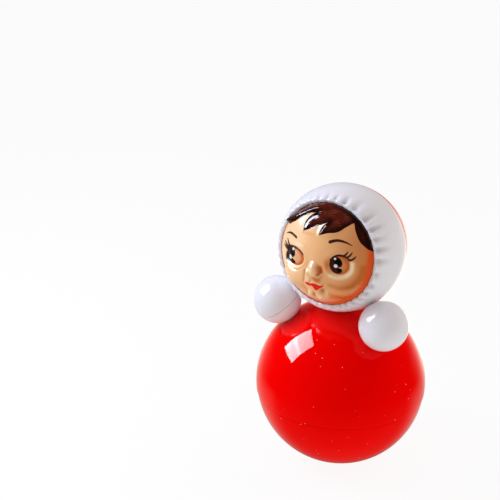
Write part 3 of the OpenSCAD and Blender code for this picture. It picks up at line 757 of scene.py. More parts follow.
# A stroke's points, and its width at the start, the middle and the end.
STROKES = [
    ([(9.2, 1.2), (10.5, 2.9), (12.5, 4.1), (15.0, 4.3), (17.1, 3.5), (18.9, 1.9)], 0.7, 1.2, 0.7),
    ([(-18.6, 0.8), (-16.2, 3.1), (-13.0, 3.6), (-9.7, 3.0), (-6.4, 1.2)], 1.2, 1.4, 1.0),
    ([(15.5, 4.1), (16.5, 5.2), (17.2, 6.6)], 1.2, 1.0, 0.5),
    ([(17.1, 3.5), (18.3, 4.7), (19.1, 6.2)], 1.2, 1.0, 0.5),
    ([(18.5, 2.2), (19.8, 2.9), (20.9, 4.3)], 1.2, 1.0, 0.5),
    ([(-15.8, 2.7), (-18.1, 4.2), (-20.1, 6.0)], 1.7, 1.3, 0.7),
    ([(-17.6, 2.2), (-19.9, 3.0), (-22.2, 4.0)], 1.7, 1.3, 0.7),
    ([(-18.7, 1.4), (-20.7, 1.8), (-22.6, 2.2)], 1.7, 1.3, 0.7),
    ([(7.8, 10.6), (9.4, 11.3), (11.7, 11.8), (14.9, 11.3), (18.5, 9.8)], 1.7, 1.25, 0.3),
    ([(-13.0, 8.7), (-14.9, 9.3), (-17.3, 9.6), (-19.9, 9.2), (-22.4, 8.0)], 1.5, 1.2, 0.4),
]


def eye_out(side):
    """How far out from an eye's centre the grid's points are: 1 on the ellipse that bounds the eye."""
    middle_x, middle_y, half_x, half_y = EYES[side]
    return np.hypot((face_x - middle_x) / half_x, (face_y - middle_y) / half_y)


def stroke_distance(points, *widths):
    """Distance to a curve less half its width there; the width runs through three values along it."""
    away, along, _ = nearest_on(points)
    return away - np.interp(along, [0, 0.5, 1], widths) / 2


print(len(STROKES), "brush strokes and", len(GLINTS), "glints")

# %% [markdown]
# Now the moulding. The plate is a ball, and the features swell from it: a button nose, cheeks, a muzzle
# with a dimpled chin, and sunk eyes with a raised lid below, drawn sharper by a few fine lines. Sculpt mode
# would give this too, but sums of smooth bumps can be read, changed and measured.

# %% Relief of the skin
MIDDLE = 0.4
# How far each eye is sunk, how wide its flank is in eye sizes, and how far the lid below it rises.
EYE_FORM = {1: (0.7, 0.34, 0.7), -1: (0.5, 0.2, 0.45)}
# The eyeball's dome, the lid round it, and what counts as below an eye; out is 1 on the eye's edge.
EYE_DOME = 0.6
EYE_DOME_OUT = 1.2
LID_RISE = 0.25
LID_FADE = 0.6
BELOW_MEAN = 0.45
BELOW_SLOPE = 0.75
LEAST_OUT = 0.1
# Lips, muzzle and forehead: rises, widths and places in millimetres.
LIP_RISE = 0.6
LIP_SOFT = 1.4
MUZZLE_RISE = 1.8
MUZZLE_HALF = 3.9
MUZZLE_WIDENS = 0.16
MUZZLE_WIDENS_FROM = -5
MUZZLE_WIDENS_FOR = 16
MUZZLE_FLANK = 1.8
MUZZLE_TOP = -4
MUZZLE_FOOT = -25
MUZZLE_FADE = 4
FOREHEAD_RISE = 1.5
FOREHEAD_FOOT = 8
FOREHEAD_FADE = 13
TEMPLE = 12
TEMPLE_FADE = 8
# A line's rise, points and width.
LINES = [
    (-1.0, [(-19.0, -5.4), (-17.2, -7.4), (-15.0, -8.1), (-11.5, -8.5), (-8.2, -7.0), (-5.6, -5.1)], 0.75),
    (0.5, [(2.0, -7.8), (3.8, -8.1), (5.4, -6.9)], 0.6),
    (-0.5, [(-0.4, -9.6), (-0.8, -11.8)], 0.7),
    (-0.5, [(-4.9, -6.8), (-5.3, -10.0), (-6.0, -13.5)], 0.8),
]


def bell(x, place, half):
    """A round bump: e to the minus squared distance, in half-widths."""
    return np.exp(-((x - place[0]) / half[0]) ** 2 - ((face_y - place[1]) / half[1]) ** 2)


def knob(x, place, half):
    """A ball-like bump with a soft foot: 1 less the squared distance in half-widths, to the power 1.5."""
    return np.clip(1 - ((x - place[0]) / half[0]) ** 2 - ((face_y - place[1]) / half[1]) ** 2, 0, 1) ** 1.5


# Each bump's rise, form, place and half-widths; twins are measured from the middle of the face.
BUMPS = {
    "nose": (2.7, knob, (0.7, -4.3), (3.4, 3.8)),
    "bridge of the nose": (0.15, bell, (0.8, 1.0), (2.6, 3.6)),
    "wing of the nose": (0.4, knob, (-2.6, -7.4), (1.8, 1.8)),
    "hollow beside the nose": (-0.9, bell, (4.5, -5.0), (1.1, 1.6)),
    "hollow at the mouth": (-1.2, bell, (4.9, -16.0), (1.5, 1.4)),
    "hollow at the jaw": (-1.0, bell, (-4.7, -18.0), (1.6, 2.0)),
    "dimple": (-0.7, bell, (0.2, -19.1), (0.9, 1.3)),
}
TWIN_BUMPS = {
    "cheeks": (1.9, bell, (15.5, -13.5), (7.0, 5.2)),
    "chin": (1.1, knob, (2.4, -19.3), (2.6, 2.8)),
}


def line_share(points, width):
    """1 on a curve, and away from it e to the minus squared distance, in widths."""
    return np.exp(-(nearest_on(points)[0] / width) ** 2)


def eye_relief(side):
    """A sunk eye with a domed ball; round it a lid that is raised below the eye and eases out."""
    sunk, flank, bag = EYE_FORM[side]
    _, middle_y, _, half_y = EYES[side]
    out = eye_out(side)
    below = ease(BELOW_MEAN - BELOW_SLOPE * (face_y - middle_y) / half_y / np.maximum(out, LEAST_OUT))
    ball = EYE_DOME * ease(EYE_DOME_OUT - out) - sunk
    lid = (LID_RISE + bag * below) * (1 - ease((out - 1 - flank) / LID_FADE))
    inside = ease((1 + flank - out) / flank)
    return ball * inside + lid * (1 - inside)


def skin_relief():
    """The bare face: the listed bumps, the muzzle, which is wider below, lips, forehead, lines and eyes."""
    mirror = np.abs(face_x - MIDDLE)
    height = sum(rise * form(face_x, place, half) for rise, form, place, half in BUMPS.values())
    height += sum(rise * form(mirror, place, half) for rise, form, place, half in TWIN_BUMPS.values())
    lower = np.clip(MUZZLE_WIDENS_FROM - face_y, 0, MUZZLE_WIDENS_FOR)
    muzzle_half = MUZZLE_HALF + MUZZLE_WIDENS * lower
    muzzle = MUZZLE_RISE * ease((muzzle_half + MUZZLE_FLANK / 2 - mirror) / MUZZLE_FLANK)
    muzzle = muzzle * ease((MUZZLE_TOP - face_y) / MUZZLE_FADE) * ease((face_y - MUZZLE_FOOT) / MUZZLE_FADE)
    forehead = FOREHEAD_RISE * ease((face_y - FOREHEAD_FOOT) / FOREHEAD_FADE)
    height += muzzle + forehead * ease((TEMPLE - face_x) / TEMPLE_FADE)
    height += LIP_RISE * ease(0.5 - lip_edge / LIP_SOFT)
    height += sum(rise * line_share(points, width) for rise, points, width in LINES)
    return height + eye_relief(1) + eye_relief(-1)


bare_skin = skin_relief()
print("the bare face rises from", round(bare_skin.min(), 1), "to", round(bare_skin.max(), 1), "mm")

# %% [markdown]
# Hair on such a toy is a few thick locks that overlap like shingles, with fine strands scratched into the
# mould. Hair curves would look too soft. Each lock has an edge that stands up and slopes away behind it, and
# the skin swells a little towards the edge, so the lock seems pressed into it.

# %% Relief of the hair
# A lock's edge, its rise, the widths of its wall, level and slope, and the x from where it fades.
LOCKS = [
    ([(9, 26), (-2, 23.4), (-7.2, 21.3), (-10.1, 19.6), (-14.4, 16.9), (-17.4, 15.0), (-21.8, 12.9),
      (-30, 9)], 1.5, 1.4, 0.0, 3.4, -2),
    ([(-9.0, 8), (-8.7, 12.9), (-8.7, 15.9), (-7.9, 18.3), (-6.4, 20.3), (-4.6, 21.7), (0, 23.4), (9, 25)],
     1.2, 1.3, 0.7, 4.2, 0),
    ([(1.0, 8), (1.3, 12.8), (1.8, 15.3), (2.7, 17.3), (4.2, 18.8), (7.5, 20.4), (13, 22), (20, 23)],
     1.1, 0.9, 0.0, 6.0, 5),
]
LOCK_FADE = 9
LOCK_SINKS = 0.9
SKIN_SWELL = 0.4
SWELL_WIDTH = 2
SWELL_FOOT = 11.5
SWELL_FADE = 6
BACK_HAIR = 0.25
STRAND_CENTRE = (10, 4)
STRAND_WIDTH = 0.9
STRAND_DEPTH = 0.025


def past_edge(points):
    """Distance to the right of a directed curve, below 0 on its left."""
    away, _, side = nearest_on(points)
    return side * away


strand = np.hypot(face_x - STRAND_CENTRE[0], face_y - STRAND_CENTRE[1])
lock_height = np.full(face_x.shape, BACK_HAIR)
swell = np.zeros(face_x.shape)
for k, (points, rise, wall, level, slope, fade) in enumerate(LOCKS):
    past = past_edge(points)
    lock = BACK_HAIR + rise * (1 - LOCK_SINKS * ease((past - wall - level) / slope))
    lock_height += (lock - lock_height) * ease(past / wall) * (1 - ease((face_x - fade) / LOCK_FADE))
    if k > 0:
        swelling = SKIN_SWELL * ease(past / SWELL_WIDTH + 1) * ease((face_y - SWELL_FOOT) / SWELL_WIDTH)
        swell += swelling * ease((TEMPLE - face_x) / SWELL_FADE)
lock_height += STRAND_DEPTH * np.sin(2 * np.pi * strand / STRAND_WIDTH)
print("the locks rise up to", round(lock_height.max(), 2), "mm")

# %% [markdown]
# Skin and hair now make one surface. Near the hood's edge the relief eases out, and a shallow step runs
# round the plate, which in the real toy shows as a pale line inside the rim. A Displace modifier could
# push the points out, but here the height simply adds to the radius. The back is a plain ball.

# %% Face plate
FACE_WALL = 2
BACK_ROWS = 8
RELIEF_FADE = np.radians(5)
HAIR_FADE = np.radians(3)
HAIR_RISE = 0.35
HAIR_FLANK = 0.8
TEMPLE_FLAT = 0.7
FLAT_FROM = 9
FLAT_FADE = 5
BORDER_STEP = 0.2
BORDER_WIDTH = np.radians(7.8)
BORDER_SOFT = np.radians(2.0)

border = OPENING - BORDER_WIDTH
skin_rise = (bare_skin + swell) * ease((border - front_leans) / RELIEF_FADE)
skin_rise = skin_rise - BORDER_STEP * ease((front_leans - border) / BORDER_SOFT)
hair_rise = (HAIR_RISE + lock_height) * (1 - TEMPLE_FLAT * ease((face_x - FLAT_FROM) / FLAT_FADE))
hair_rise = hair_rise * ease((OPENING - front_leans) / HAIR_FADE)
hair_share = ease(-hair_edge / HAIR_FLANK)
rise = skin_rise * (1 - hair_share) + hair_rise * hair_share
front_r = FACE_R + rise * (front_leans <= OPENING)
back_leans = np.linspace(0, FACE_EDGE, BACK_ROWS)[1:, None]
back = polar(FACE_R - FACE_WALL, back_leans, face_turns)
front = polar(front_r, front_leans, face_turns)
plate = close_poles(np.concatenate([back, front]), [0, 0, FACE_R - FACE_WALL], [0, 0, front_r[-1].mean()])
face = make_piece("face_plate", placed(plate, HEAD_CENTRE, FACE_AXES))
report(face)

# %% [markdown]
# Some of the colour has no edge, and most of it stands in for light: warm painted shade in the hollows and
# on the doll's left cheek, away from the lamp; pale painted highlights on the lids, the ridges and the right
# cheek; a darker flesh in the eyes that deepens into painted shade towards their edges; and orange painted
# shade round the border, under the hood's rim. Vertex painting by hand would do. We add soft spots and soft
# lines instead, which can be read and changed one by one.

# %% Painted shade, painted highlights and the eyes' flesh
# A spot's strength, place and half-widths; a line's strength, points and width.
# Painted shade: spots darken the inner corner of the doll's left eye, the hollows at the mouth and jaw, the
# dimple, and low on both cheeks.
SHADE_SPOTS = [
    (0.60, (7.6, -1.0), (2.4, 3.2)), (0.75, (-4.9, -18.3), (1.7, 2.0)), (0.75, (0.2, -19.1), (0.9, 1.4)),
    (0.80, (5.0, -16.2), (1.4, 1.6)), (0.50, (13.0, -20.5), (7.0, 2.5)), (0.35, (-10.0, -17.5), (5.0, 2.5)),
]
# Painted shade along the muzzle's edge, the philtrum and the crease below the doll's left eye.
SHADE_LINES = [
    (0.45, [(-4.7, -6.6), (-5.0, -9.9), (-5.7, -13.5)], 0.8), (0.25, [(-1.1, -12.0), (-0.2, -10.2)], 0.5),
    (0.40, [(25.0, -2.0), (24.0, -6.5), (20.5, -11.0), (14.5, -13.0), (9.5, -12.6)], 1.6),
]
# Outline of painted shade on the nose's side away from the lamp.
NOSE_SHADE_OUTLINE = [
    (2.5, -3.2), (3.9, -2.6), (5.4, -3.4), (5.8, -5.7), (5.3, -8.0), (4.8, -9.5), (4.5, -11.2),
    (2.0, -11.2), (0.0, -9.2), (1.8, -8.3), (2.9, -6.7), (2.7, -4.9),
]
# Painted highlights: pale spots on the nose, the muzzle's ridge and the chin, where they face the lamp.
HIGHLIGHT_SPOTS = [
    (1.00, (-0.3, -4.2), (2.0, 2.8)), (1.00, (-2.7, -10.4), (1.2, 2.6)), (0.90, (-1.8, -17.8), (1.1, 1.9)),
    (0.90, (3.3, -19.4), (1.3, 1.7)), (0.70, (6.7, -18.0), (0.7, 2.4)),
]
# Painted highlights along the nose's wing, the edges of two locks and both lower lids.
HIGHLIGHT_LINES = [
    (0.55, [(2.4, -8.2), (3.9, -8.3), (5.3, -7.2)], 0.5),
    (1.10, [(0.5, 13.0), (0.9, 15.2), (1.9, 16.9), (3.6, 18.3)], 0.8),
    (0.60, [(-9.7, 13.3), (-9.8, 16.4), (-8.6, 18.9)], 1.0),
    (0.60, [(-19.2, -5.4), (-17.0, -7.2), (-14.0, -7.8), (-10.5, -7.6), (-7.0, -6.0)], 1.4),
    (1.00, [(19.8, 0.4), (19.6, -3.0), (18.3, -5.4), (16.2, -6.7), (13.2, -7.2), (10.0, -6.6)], 1.1),
]
# Outline of orange painted shade below the cheeks and round the chin.
CHIN_SHADE_AREA = [
    (7.6, -18.4), (10.1, -18.9), (15.8, -18.6), (20.0, -16.6), (23.6, -11.8), (25.6, -4.0), (25.4, 4.0),
    (34, 8), (34, -34), (-30, -34), (-30, -14), (-18.0, -17.8), (-13.8, -20.6), (-6.3, -23.2), (3.0, -24.0),
    (7.4, -22.5),
]
# Painted shade that grows over the doll's left side, away from the lamp, and a darker patch of it beside the
# nose.
LEFT_SIDE_SHADE = 0.8
LEFT_FROM = -2
LEFT_GROWS = 30
NOSE_SHADE = 0.85
NOSE_SOFT = 2
# Painted highlight that grows over the doll's right side, towards the lamp.
RIGHT_SIDE_HIGHLIGHT = 0.45
RIGHT_FROM = -3
RIGHT_GROWS = 14
# The eyes' darker flesh, deepening into painted shade towards each sunk eye's edge, is thinner in the middle
# of an eye and ends at its edge; places are in eye sizes.
EYE_THIN = 0.35
EYE_THIN_TO = 0.5
EYE_GROWS = 0.45
EYE_END = 0.98
EYE_END_SOFT = 0.06
# The orange painted shade round the border is thinner on the doll's upper right, towards the lamp.
RIM_SHADE_WIDTH = 10
RIM_SHADE_FADE = 8
RIM_SHADE_THINS = 1.2
RIM_SHADE_LEAST = 0.3
RIM_SHADE_TILT = 0.3
RIM_SHADE_FROM = -12
RIM_SHADE_GROWS = 22
CHIN_SHADE = 0.35
CHIN_SOFT = 1.6


def soft_spots_and_lines(spots, lines):
    """Adds soft spots and soft lines, each with its own strength: here painted shade and painted highlights.
    """
    spray = sum(share * bell(face_x, place, half) for share, place, half in spots)
    return spray + sum(share * line_share(points, width) for share, points, width in lines)


def masked(outline, soft):
    """1 inside an outline and 0 outside it, with an edge of a given softness."""
    return ease(0.5 - signed_distance(outline) / soft)


# Painted shade: the spots, the lines, the doll's left side and the nose's far side.
painted_shade = soft_spots_and_lines(SHADE_SPOTS, SHADE_LINES) + LEFT_SIDE_SHADE * ease((face_x - LEFT_FROM) / LEFT_GROWS)
painted_shade = painted_shade + NOSE_SHADE * masked(NOSE_SHADE_OUTLINE, NOSE_SOFT)
# Painted highlight: the spots, the lines and the doll's right side.
painted_highlight = soft_spots_and_lines(HIGHLIGHT_SPOTS, HIGHLIGHT_LINES) + RIGHT_SIDE_HIGHLIGHT * ease((RIGHT_FROM - face_x) / RIGHT_GROWS)
eye_spread = np.minimum(eye_out(1), eye_out(-1))
# The eyes' darker flesh, deepening into painted shade towards the edge of each sunk eye.
eye_flesh_and_shade = EYE_THIN + (1 - EYE_THIN) * ease((eye_spread - EYE_THIN_TO) / EYE_GROWS)
eye_flesh_and_shade = eye_flesh_and_shade * (1 - ease((eye_spread - EYE_END) / EYE_END_SOFT))
# Painted shade: orange round the border under the hood's rim, deepest on the doll's lower left, away from
# the lamp.
from_rim = np.degrees(OPENING - front_leans)
rim_shade_side = ease((face_x - RIM_SHADE_TILT * face_y - RIM_SHADE_FROM) / RIM_SHADE_GROWS)
rim_shade_side = RIM_SHADE_LEAST + (1 - RIM_SHADE_LEAST) * rim_shade_side
rim_shade = ease((RIM_SHADE_WIDTH - from_rim) / RIM_SHADE_FADE) ** RIM_SHADE_THINS * rim_shade_side
rim_shade = rim_shade + CHIN_SHADE * masked(CHIN_SHADE_AREA, CHIN_SOFT)
print("the mist covers more than half at", round(100 * np.mean(rim_shade > 0.5)), "percent of the grid's points")

# %% [markdown]
# All paint goes onto the plate as attributes, one number per point: a share for each soft layer, painted
# shade and highlights among them, and for each crisp paint the distance in millimetres to its edge. An image
# texture would need a UV map and fixed pixels. A distance needs neither, and the shader makes of it an edge
# as crisp or as soft as we like.

# %% Store the paint on the plate
def nearest(distances):
    """The least of several signed distances, so that several outlines make one paint."""
    return np.minimum.reduce(list(distances))


PAINT = {
    "painted_shade": painted_shade,
    "painted_highlight": painted_highlight,
    "rim_shade": rim_shade,
    "eye_flesh_and_shade": eye_flesh_and_shade,
    "strand": strand,
    "hair_edge": hair_edge,
    "lip_edge": lip_edge,
    "iris_edge": nearest(signed_distance(outline) for outline in IRISES),
    "pupil_edge": nearest(signed_distance(outline) for outline in PUPILS),
    "glint_edge": nearest(np.hypot(face_x - x, face_y - y) - radius for x, y, radius in GLINTS),
    "brush_edge": nearest(stroke_distance(*stroke) for stroke in STROKES),
}
for name, on_front in PAINT.items():
    border_mean, tip_mean = on_front[0].mean(), on_front[-1].mean()
    on_back = np.full(back.shape[:2], border_mean)
    carry(face, name, np.concatenate([on_back.ravel(), on_front.ravel(), [border_mean, tip_mean]]))
print("the plate carries", list(PAINT))

# %% [markdown]
# Materials next. Building nodes by hand in the editor is quick once, but a lesson needs it in text, so a
# few small helpers each add one node with its values.

# %% Helpers for shader nodes
def feed(tree, socket, value):
    """Links an output to a socket, or sets the socket to a plain value."""
    if isinstance(value, bpy.types.NodeSocket):
        tree.links.new(value, socket)
    else:
        socket.default_value = value


def add_node(tree, kind, values=None, **settings):
    """Adds a node, sets its properties, and fills its inputs with values or links."""
    made = tree.nodes.new(kind)
    for name, setting in settings.items():
        setattr(made, name, setting)
    for name, value in (values or {}).items():
        feed(tree, made.inputs[name], value)
    return made


def on_piece(tree):
    """The place on the piece, in its own coordinates."""
    return add_node(tree, "ShaderNodeTexCoord").outputs["Object"]


def carried(tree, name):
    """A number that the mesh carries at each point."""
    return add_node(tree, "ShaderNodeAttribute", attribute_name=name).outputs["Fac"]


def work_out(tree, operation, *values):
    """One Math node on numbers."""
    return add_node(tree, "ShaderNodeMath", dict(enumerate(values)), operation=operation).outputs[0]


def vectors(tree, operation, *values):
    """One Vector Math node; a dot product and a length give a number, the others a vector."""
    made = add_node(tree, "ShaderNodeVectorMath", dict(enumerate(values)), operation=operation)
    return made.outputs["Value" if operation in ("DOT_PRODUCT", "LENGTH") else "Vector"]


def noise(tree, where, scale, detail):
    """A cloudy number about one half; the larger the scale, the smaller the clouds."""
    values = {"Vector": where, "Scale": scale, "Detail": detail}
    return add_node(tree, "ShaderNodeTexNoise", values).outputs["Fac"]


def spread(tree, value, low, high, to_low, to_high, kind="SMOOTHSTEP"):
    """Carries a number from one range to another, smoothly, and stops at the ends."""
    values = {"Value": value, "From Min": low, "From Max": high, "To Min": to_low, "To Max": to_high}
    return add_node(tree, "ShaderNodeMapRange", values, interpolation_type=kind).outputs["Result"]


def mix_colours(tree, mask, low, high):
    """The low colour where the mask is 0 and the high colour where it is 1."""
    return add_node(tree, "ShaderNodeMix", {0: mask, 6: low, 7: high}, data_type="RGBA").outputs[2]


print("helpers for nodes are ready")

# %% [markdown]
# An effect that several materials share is built once, as a node group with named inputs and outputs. Its
# nodes could be copied into each material, but then every change would have to be made in each. The groups
# here give a colour, a roughness and a height. The shader itself stays in the material.

# %% Helpers for groups and materials
SOCKET_KINDS = {1: "NodeSocketFloat", 3: "NodeSocketVector", 4: "NodeSocketColor"}
GROUP_GIVES = {"Colour": 4, "Roughness": 1, "Height": 1}


def new_material(name):
    """A material with its node tree and its Principled shader."""
    material = bpy.data.materials.new(name)
    material.use_nodes = True
    return material, material.node_tree, material.node_tree.nodes["Principled BSDF"]


def new_group(name, takes):
    """A node group with named inputs that gives a colour, a roughness and a height; its tree and inputs."""
    tree = bpy.data.node_groups.new(name, "ShaderNodeTree")
    for label, value in takes.items():
        kind = SOCKET_KINDS[np.size(value)]
        tree.interface.new_socket(label, in_out="INPUT", socket_type=kind).default_value = value
    for label, size in GROUP_GIVES.items():
        tree.interface.new_socket(label, in_out="OUTPUT", socket_type=SOCKET_KINDS[size])
    return tree, add_node(tree, "NodeGroupInput").outputs


def group_gives(tree, *values):
    """Ends a group with its colour, its roughness and its height."""
    add_node(tree, "NodeGroupOutput", dict(zip(GROUP_GIVES, values)))
    print("group", tree.name, "has", len(tree.nodes), "nodes")


def finish_with(tree, shader, group, values, bump):
    """Runs values through a group into the shader's colour and roughness, with its height as a bump."""
    given = add_node(tree, "ShaderNodeGroup", values, node_tree=group).outputs
    height = {"Height": given["Height"], "Distance": bump, "Strength": 1.0}
    raised = add_node(tree, "ShaderNodeBump", height)
    feed(tree, shader.inputs["Base Color"], given["Colour"])
    feed(tree, shader.inputs["Roughness"], given["Roughness"])
    feed(tree, shader.inputs["Normal"], raised.outputs["Normal"])


print("groups give", list(GROUP_GIVES))

# %% [markdown]
# All outer pieces are injection-moulded and polished: mirror-like, but with specks of dust, hairline
# scratches, finger smudges and a faint ripple in the surface. Photographed stains could give that, but
# noise on Object coordinates needs no images and never repeats. Three materials share it, so it is a group.

# %% Group: handled gloss
DUST_COLOUR = (0.75, 0.72, 0.70, 1)
SPECKS_PER_METRE = 280.0
PATCHES_PER_METRE = 38.0
SMUDGES_PER_METRE = 24.0
RIPPLES_PER_METRE = 120.0
HAIRLINE_TURN = (0.5, 0.3, 0.9)
HAIRLINES_PER_METRE = (900, 60, 60)
# What spread does with each: from low to high, and what these become.
SPECK_EDGE = (0.045, 0.085, 1, 0)
DUSTY_PATCH = (0.46, 0.56, 0, 1)
SCRATCH_WEAR = (0.68, 0.76, 0, 0.06)
SMUDGE_WEAR = (0.4, 0.7, 0, 0.05)

handled, taken = new_group("handled_gloss", {"Colour": (0.8, 0.8, 0.8, 1), "Dust": 0.4, "Roughness": 0.1})
where = on_piece(handled)
cells = add_node(handled, "ShaderNodeTexVoronoi", {"Vector": where, "Scale": SPECKS_PER_METRE})
speck = spread(handled, cells.outputs["Distance"], *SPECK_EDGE)
dusty = spread(handled, noise(handled, where, PATCHES_PER_METRE, 3.0), *DUSTY_PATCH)
speck = work_out(handled, "MULTIPLY", work_out(handled, "MULTIPLY", speck, dusty), taken["Dust"])
stretch = {"Vector": where, "Rotation": HAIRLINE_TURN, "Scale": HAIRLINES_PER_METRE}
hairlines = add_node(handled, "ShaderNodeMapping", stretch).outputs[0]
scratch = spread(handled, noise(handled, hairlines, 1.0, 2.0), *SCRATCH_WEAR)
smudge = spread(handled, noise(handled, where, SMUDGES_PER_METRE, 4.0), *SMUDGE_WEAR)
worn = work_out(handled, "ADD", work_out(handled, "ADD", scratch, smudge), taken["Roughness"])
dusted = mix_colours(handled, speck, taken["Colour"], DUST_COLOUR)
group_gives(handled, dusted, worn, noise(handled, where, RIPPLES_PER_METRE, 1.0))

# %% [markdown]
# Red and white plastic differ in their pigment. The pigment itself isn't quite even: it flows with the
# melt, so a slow noise shifts its shade a little. The gloss comes from the shader's own reflection; a coat
# layer would double it. In the hood's folds the stored depth darkens the white with painted shade.

# %% Red and white plastic
GLOSS_BUMP = 0.00002
GLOSS_IOR = 1.4
# Painted shade for the hood's folds: a dark grey, mixed in where the folds are deepest.
FOLD_SHADE_COLOUR = (0.30, 0.25, 0.25, 1)
FOLD_SHADE_SHARE = (0.15, 1, 0, 0.35)
FLOW_MIX = (0.3, 0.7, 0, 1)
FLOW_PER_METRE = 9.0


def pigment(tree, deep, light, scale):
    """A slow noise between two close shades of one pigment."""
    flow = noise(tree, on_piece(tree), scale, 2.0)
    return mix_colours(tree, spread(tree, flow, *FLOW_MIX), deep, light)


def finish_gloss(tree, shader, glance, colour, dust, roughness):
    """A polished finish; glance tints what it mirrors face on."""
    shader.inputs["IOR"].default_value = GLOSS_IOR
    shader.inputs["Specular Tint"].default_value = glance
    values = {"Colour": colour, "Dust": dust, "Roughness": roughness}
    finish_with(tree, shader, handled, values, GLOSS_BUMP)


def moulded_plastic(name, deep, light, dust, roughness, glance):
    """A glossy moulded plastic between two close shades.

    Where the mesh carries a fold depth, painted shade darkens its folds. A mesh without one stays unshaded.
    """
    material, tree, shader = new_material(name)
    # Painted shade: the deeper the fold, the more dark grey goes into the white.
    fold_shade_mask = spread(tree, carried(tree, "fold_shade"), *FOLD_SHADE_SHARE)
    colour = mix_colours(tree, fold_shade_mask, pigment(tree, deep, light, FLOW_PER_METRE), FOLD_SHADE_COLOUR)
    finish_gloss(tree, shader, glance, colour, dust, roughness)
    return material


red_plastic = moulded_plastic(
    "red_gloss", deep=(0.96, 0.0006, 0.0004, 1), light=(1.0, 0.0010, 0.0006, 1),
    dust=0.8, roughness=0.02, glance=(1.0, 0.36, 0.34, 1))
white_plastic = moulded_plastic(
    "white_gloss", deep=(0.84, 0.83, 0.85, 1), light=(0.87, 0.86, 0.88, 1),
    dust=0.12, roughness=0.14, glance=(1.0, 1.0, 1.0, 1))
print("plastics:", red_plastic.name, white_plastic.name)

# %% [markdown]
# The face's colour goes on in the order a painter would work. First come the soft layers over the flesh:
# painted shade, painted highlights, the orange painted shade round the border, and the eyes' darker flesh
# with its painted shade. Then the crisp paints: hair, irises, pupils, brush lines, glints and lips. Each is
# mixed over the last by a mask made from its distance, with an edge about a tenth of a millimetre soft. The
# hair gets painted shade towards its edge and under the hood's rim, and is glossier than the skin.

# %% Painted face
SKIN = (0.97, 0.545, 0.245, 1)
SKIN_WARM = (0.95, 0.505, 0.21, 1)
# Soft layers over the flesh: painted shade, painted highlight, orange painted shade round the border, and
# the eyes' flesh deepening into painted shade.
SOFT_LAYERS = {
    "painted_shade": (0.58, 0.145, 0.013, 1),
    "painted_highlight": (1.0, 0.74, 0.44, 1),
    "rim_shade": (0.80, 0.085, 0.004, 1),
    "eye_flesh_and_shade": (0.62, 0.12, 0.010, 1),
}
THIN_LAYERS = {"rim_shade": 0.95}
HAIR_DEEP = (0.095, 0.013, 0.006, 1)
HAIR_LIGHT = (0.24, 0.048, 0.026, 1)
# Painted shade on the hair: near-black towards the fringe's edge, where the lock walls face away from the
# lamp, and under the hood's rim.
HAIR_SHADE = (0.014, 0.004, 0.003, 1)
SHADE_AT_HAIR_EDGE = (-4.0, -0.4, 0, 0.92)
SHADE_UNDER_RIM = (0.1, 0.9, 0, 0.9)
CRISP_PAINTS = {
    "iris_edge": (0.055, 0.010, 0.006, 1),
    "pupil_edge": (0.004, 0.003, 0.003, 1),
    "brush_edge": (0.050, 0.014, 0.008, 1),
    "glint_edge": (0.85, 0.83, 0.80, 1),
    "lip_edge": (0.86, 0.010, 0.003, 1),
}
PAINT_SOFT = 0.12
FLESH_FLOW_PER_METRE = 30.0
FLECKS_PER_METRE = 260.0
FLECK_EDGE = (0.45, 0.65, 0, 1)
FACE_GLANCE = (0.8, 0.82, 0.88, 1)
FACE_DUST = 0.1
HAIR_ROUGHNESS = 0.05
SKIN_ROUGHNESS = 0.26

painted_face, tree, shader = new_material("painted_face")
coat = pigment(tree, SKIN_WARM, SKIN, FLESH_FLOW_PER_METRE)
for name, paint in SOFT_LAYERS.items():
    share = spread(tree, carried(tree, name), 0, 1, 0, THIN_LAYERS.get(name, 1), "LINEAR")
    coat = mix_colours(tree, share, coat, paint)
wave = work_out(tree, "MULTIPLY", carried(tree, "strand"), 2 * np.pi / STRAND_WIDTH)
crest = spread(tree, work_out(tree, "SINE", wave), 0, 1, 0, 1)
fleck = spread(tree, noise(tree, on_piece(tree), FLECKS_PER_METRE, 2.0), *FLECK_EDGE)
locks = mix_colours(tree, work_out(tree, "MULTIPLY", crest, fleck), HAIR_DEEP, HAIR_LIGHT)
hair = carried(tree, "hair_edge")
# Painted shade: the locks darken towards their edge and under the hood's rim.
locks = mix_colours(tree, spread(tree, hair, *SHADE_AT_HAIR_EDGE), locks, HAIR_SHADE)
locks = mix_colours(tree, spread(tree, carried(tree, "rim_shade"), *SHADE_UNDER_RIM), locks, HAIR_SHADE)
for name, paint in {"hair_edge": locks, **CRISP_PAINTS}.items():
    inside = spread(tree, carried(tree, name), -PAINT_SOFT, PAINT_SOFT, 1, 0)
    coat = mix_colours(tree, inside, coat, paint)
roughness = spread(tree, hair, -PAINT_SOFT, PAINT_SOFT, HAIR_ROUGHNESS, SKIN_ROUGHNESS)
finish_gloss(tree, shader, FACE_GLANCE, coat, FACE_DUST, roughness)
print("painted face has", len(tree.nodes), "nodes")

# %% [markdown]
# Inside, out of sight, the toy holds a weight, a chime and a clapper. Their solids are shown as they are,
# but each still needs a real finish: rough cast iron, drawn bright steel, zinc-plated strip, turned brass
# and plain moulded parts. Worked metals share streaks that run one way, so that is a second group.

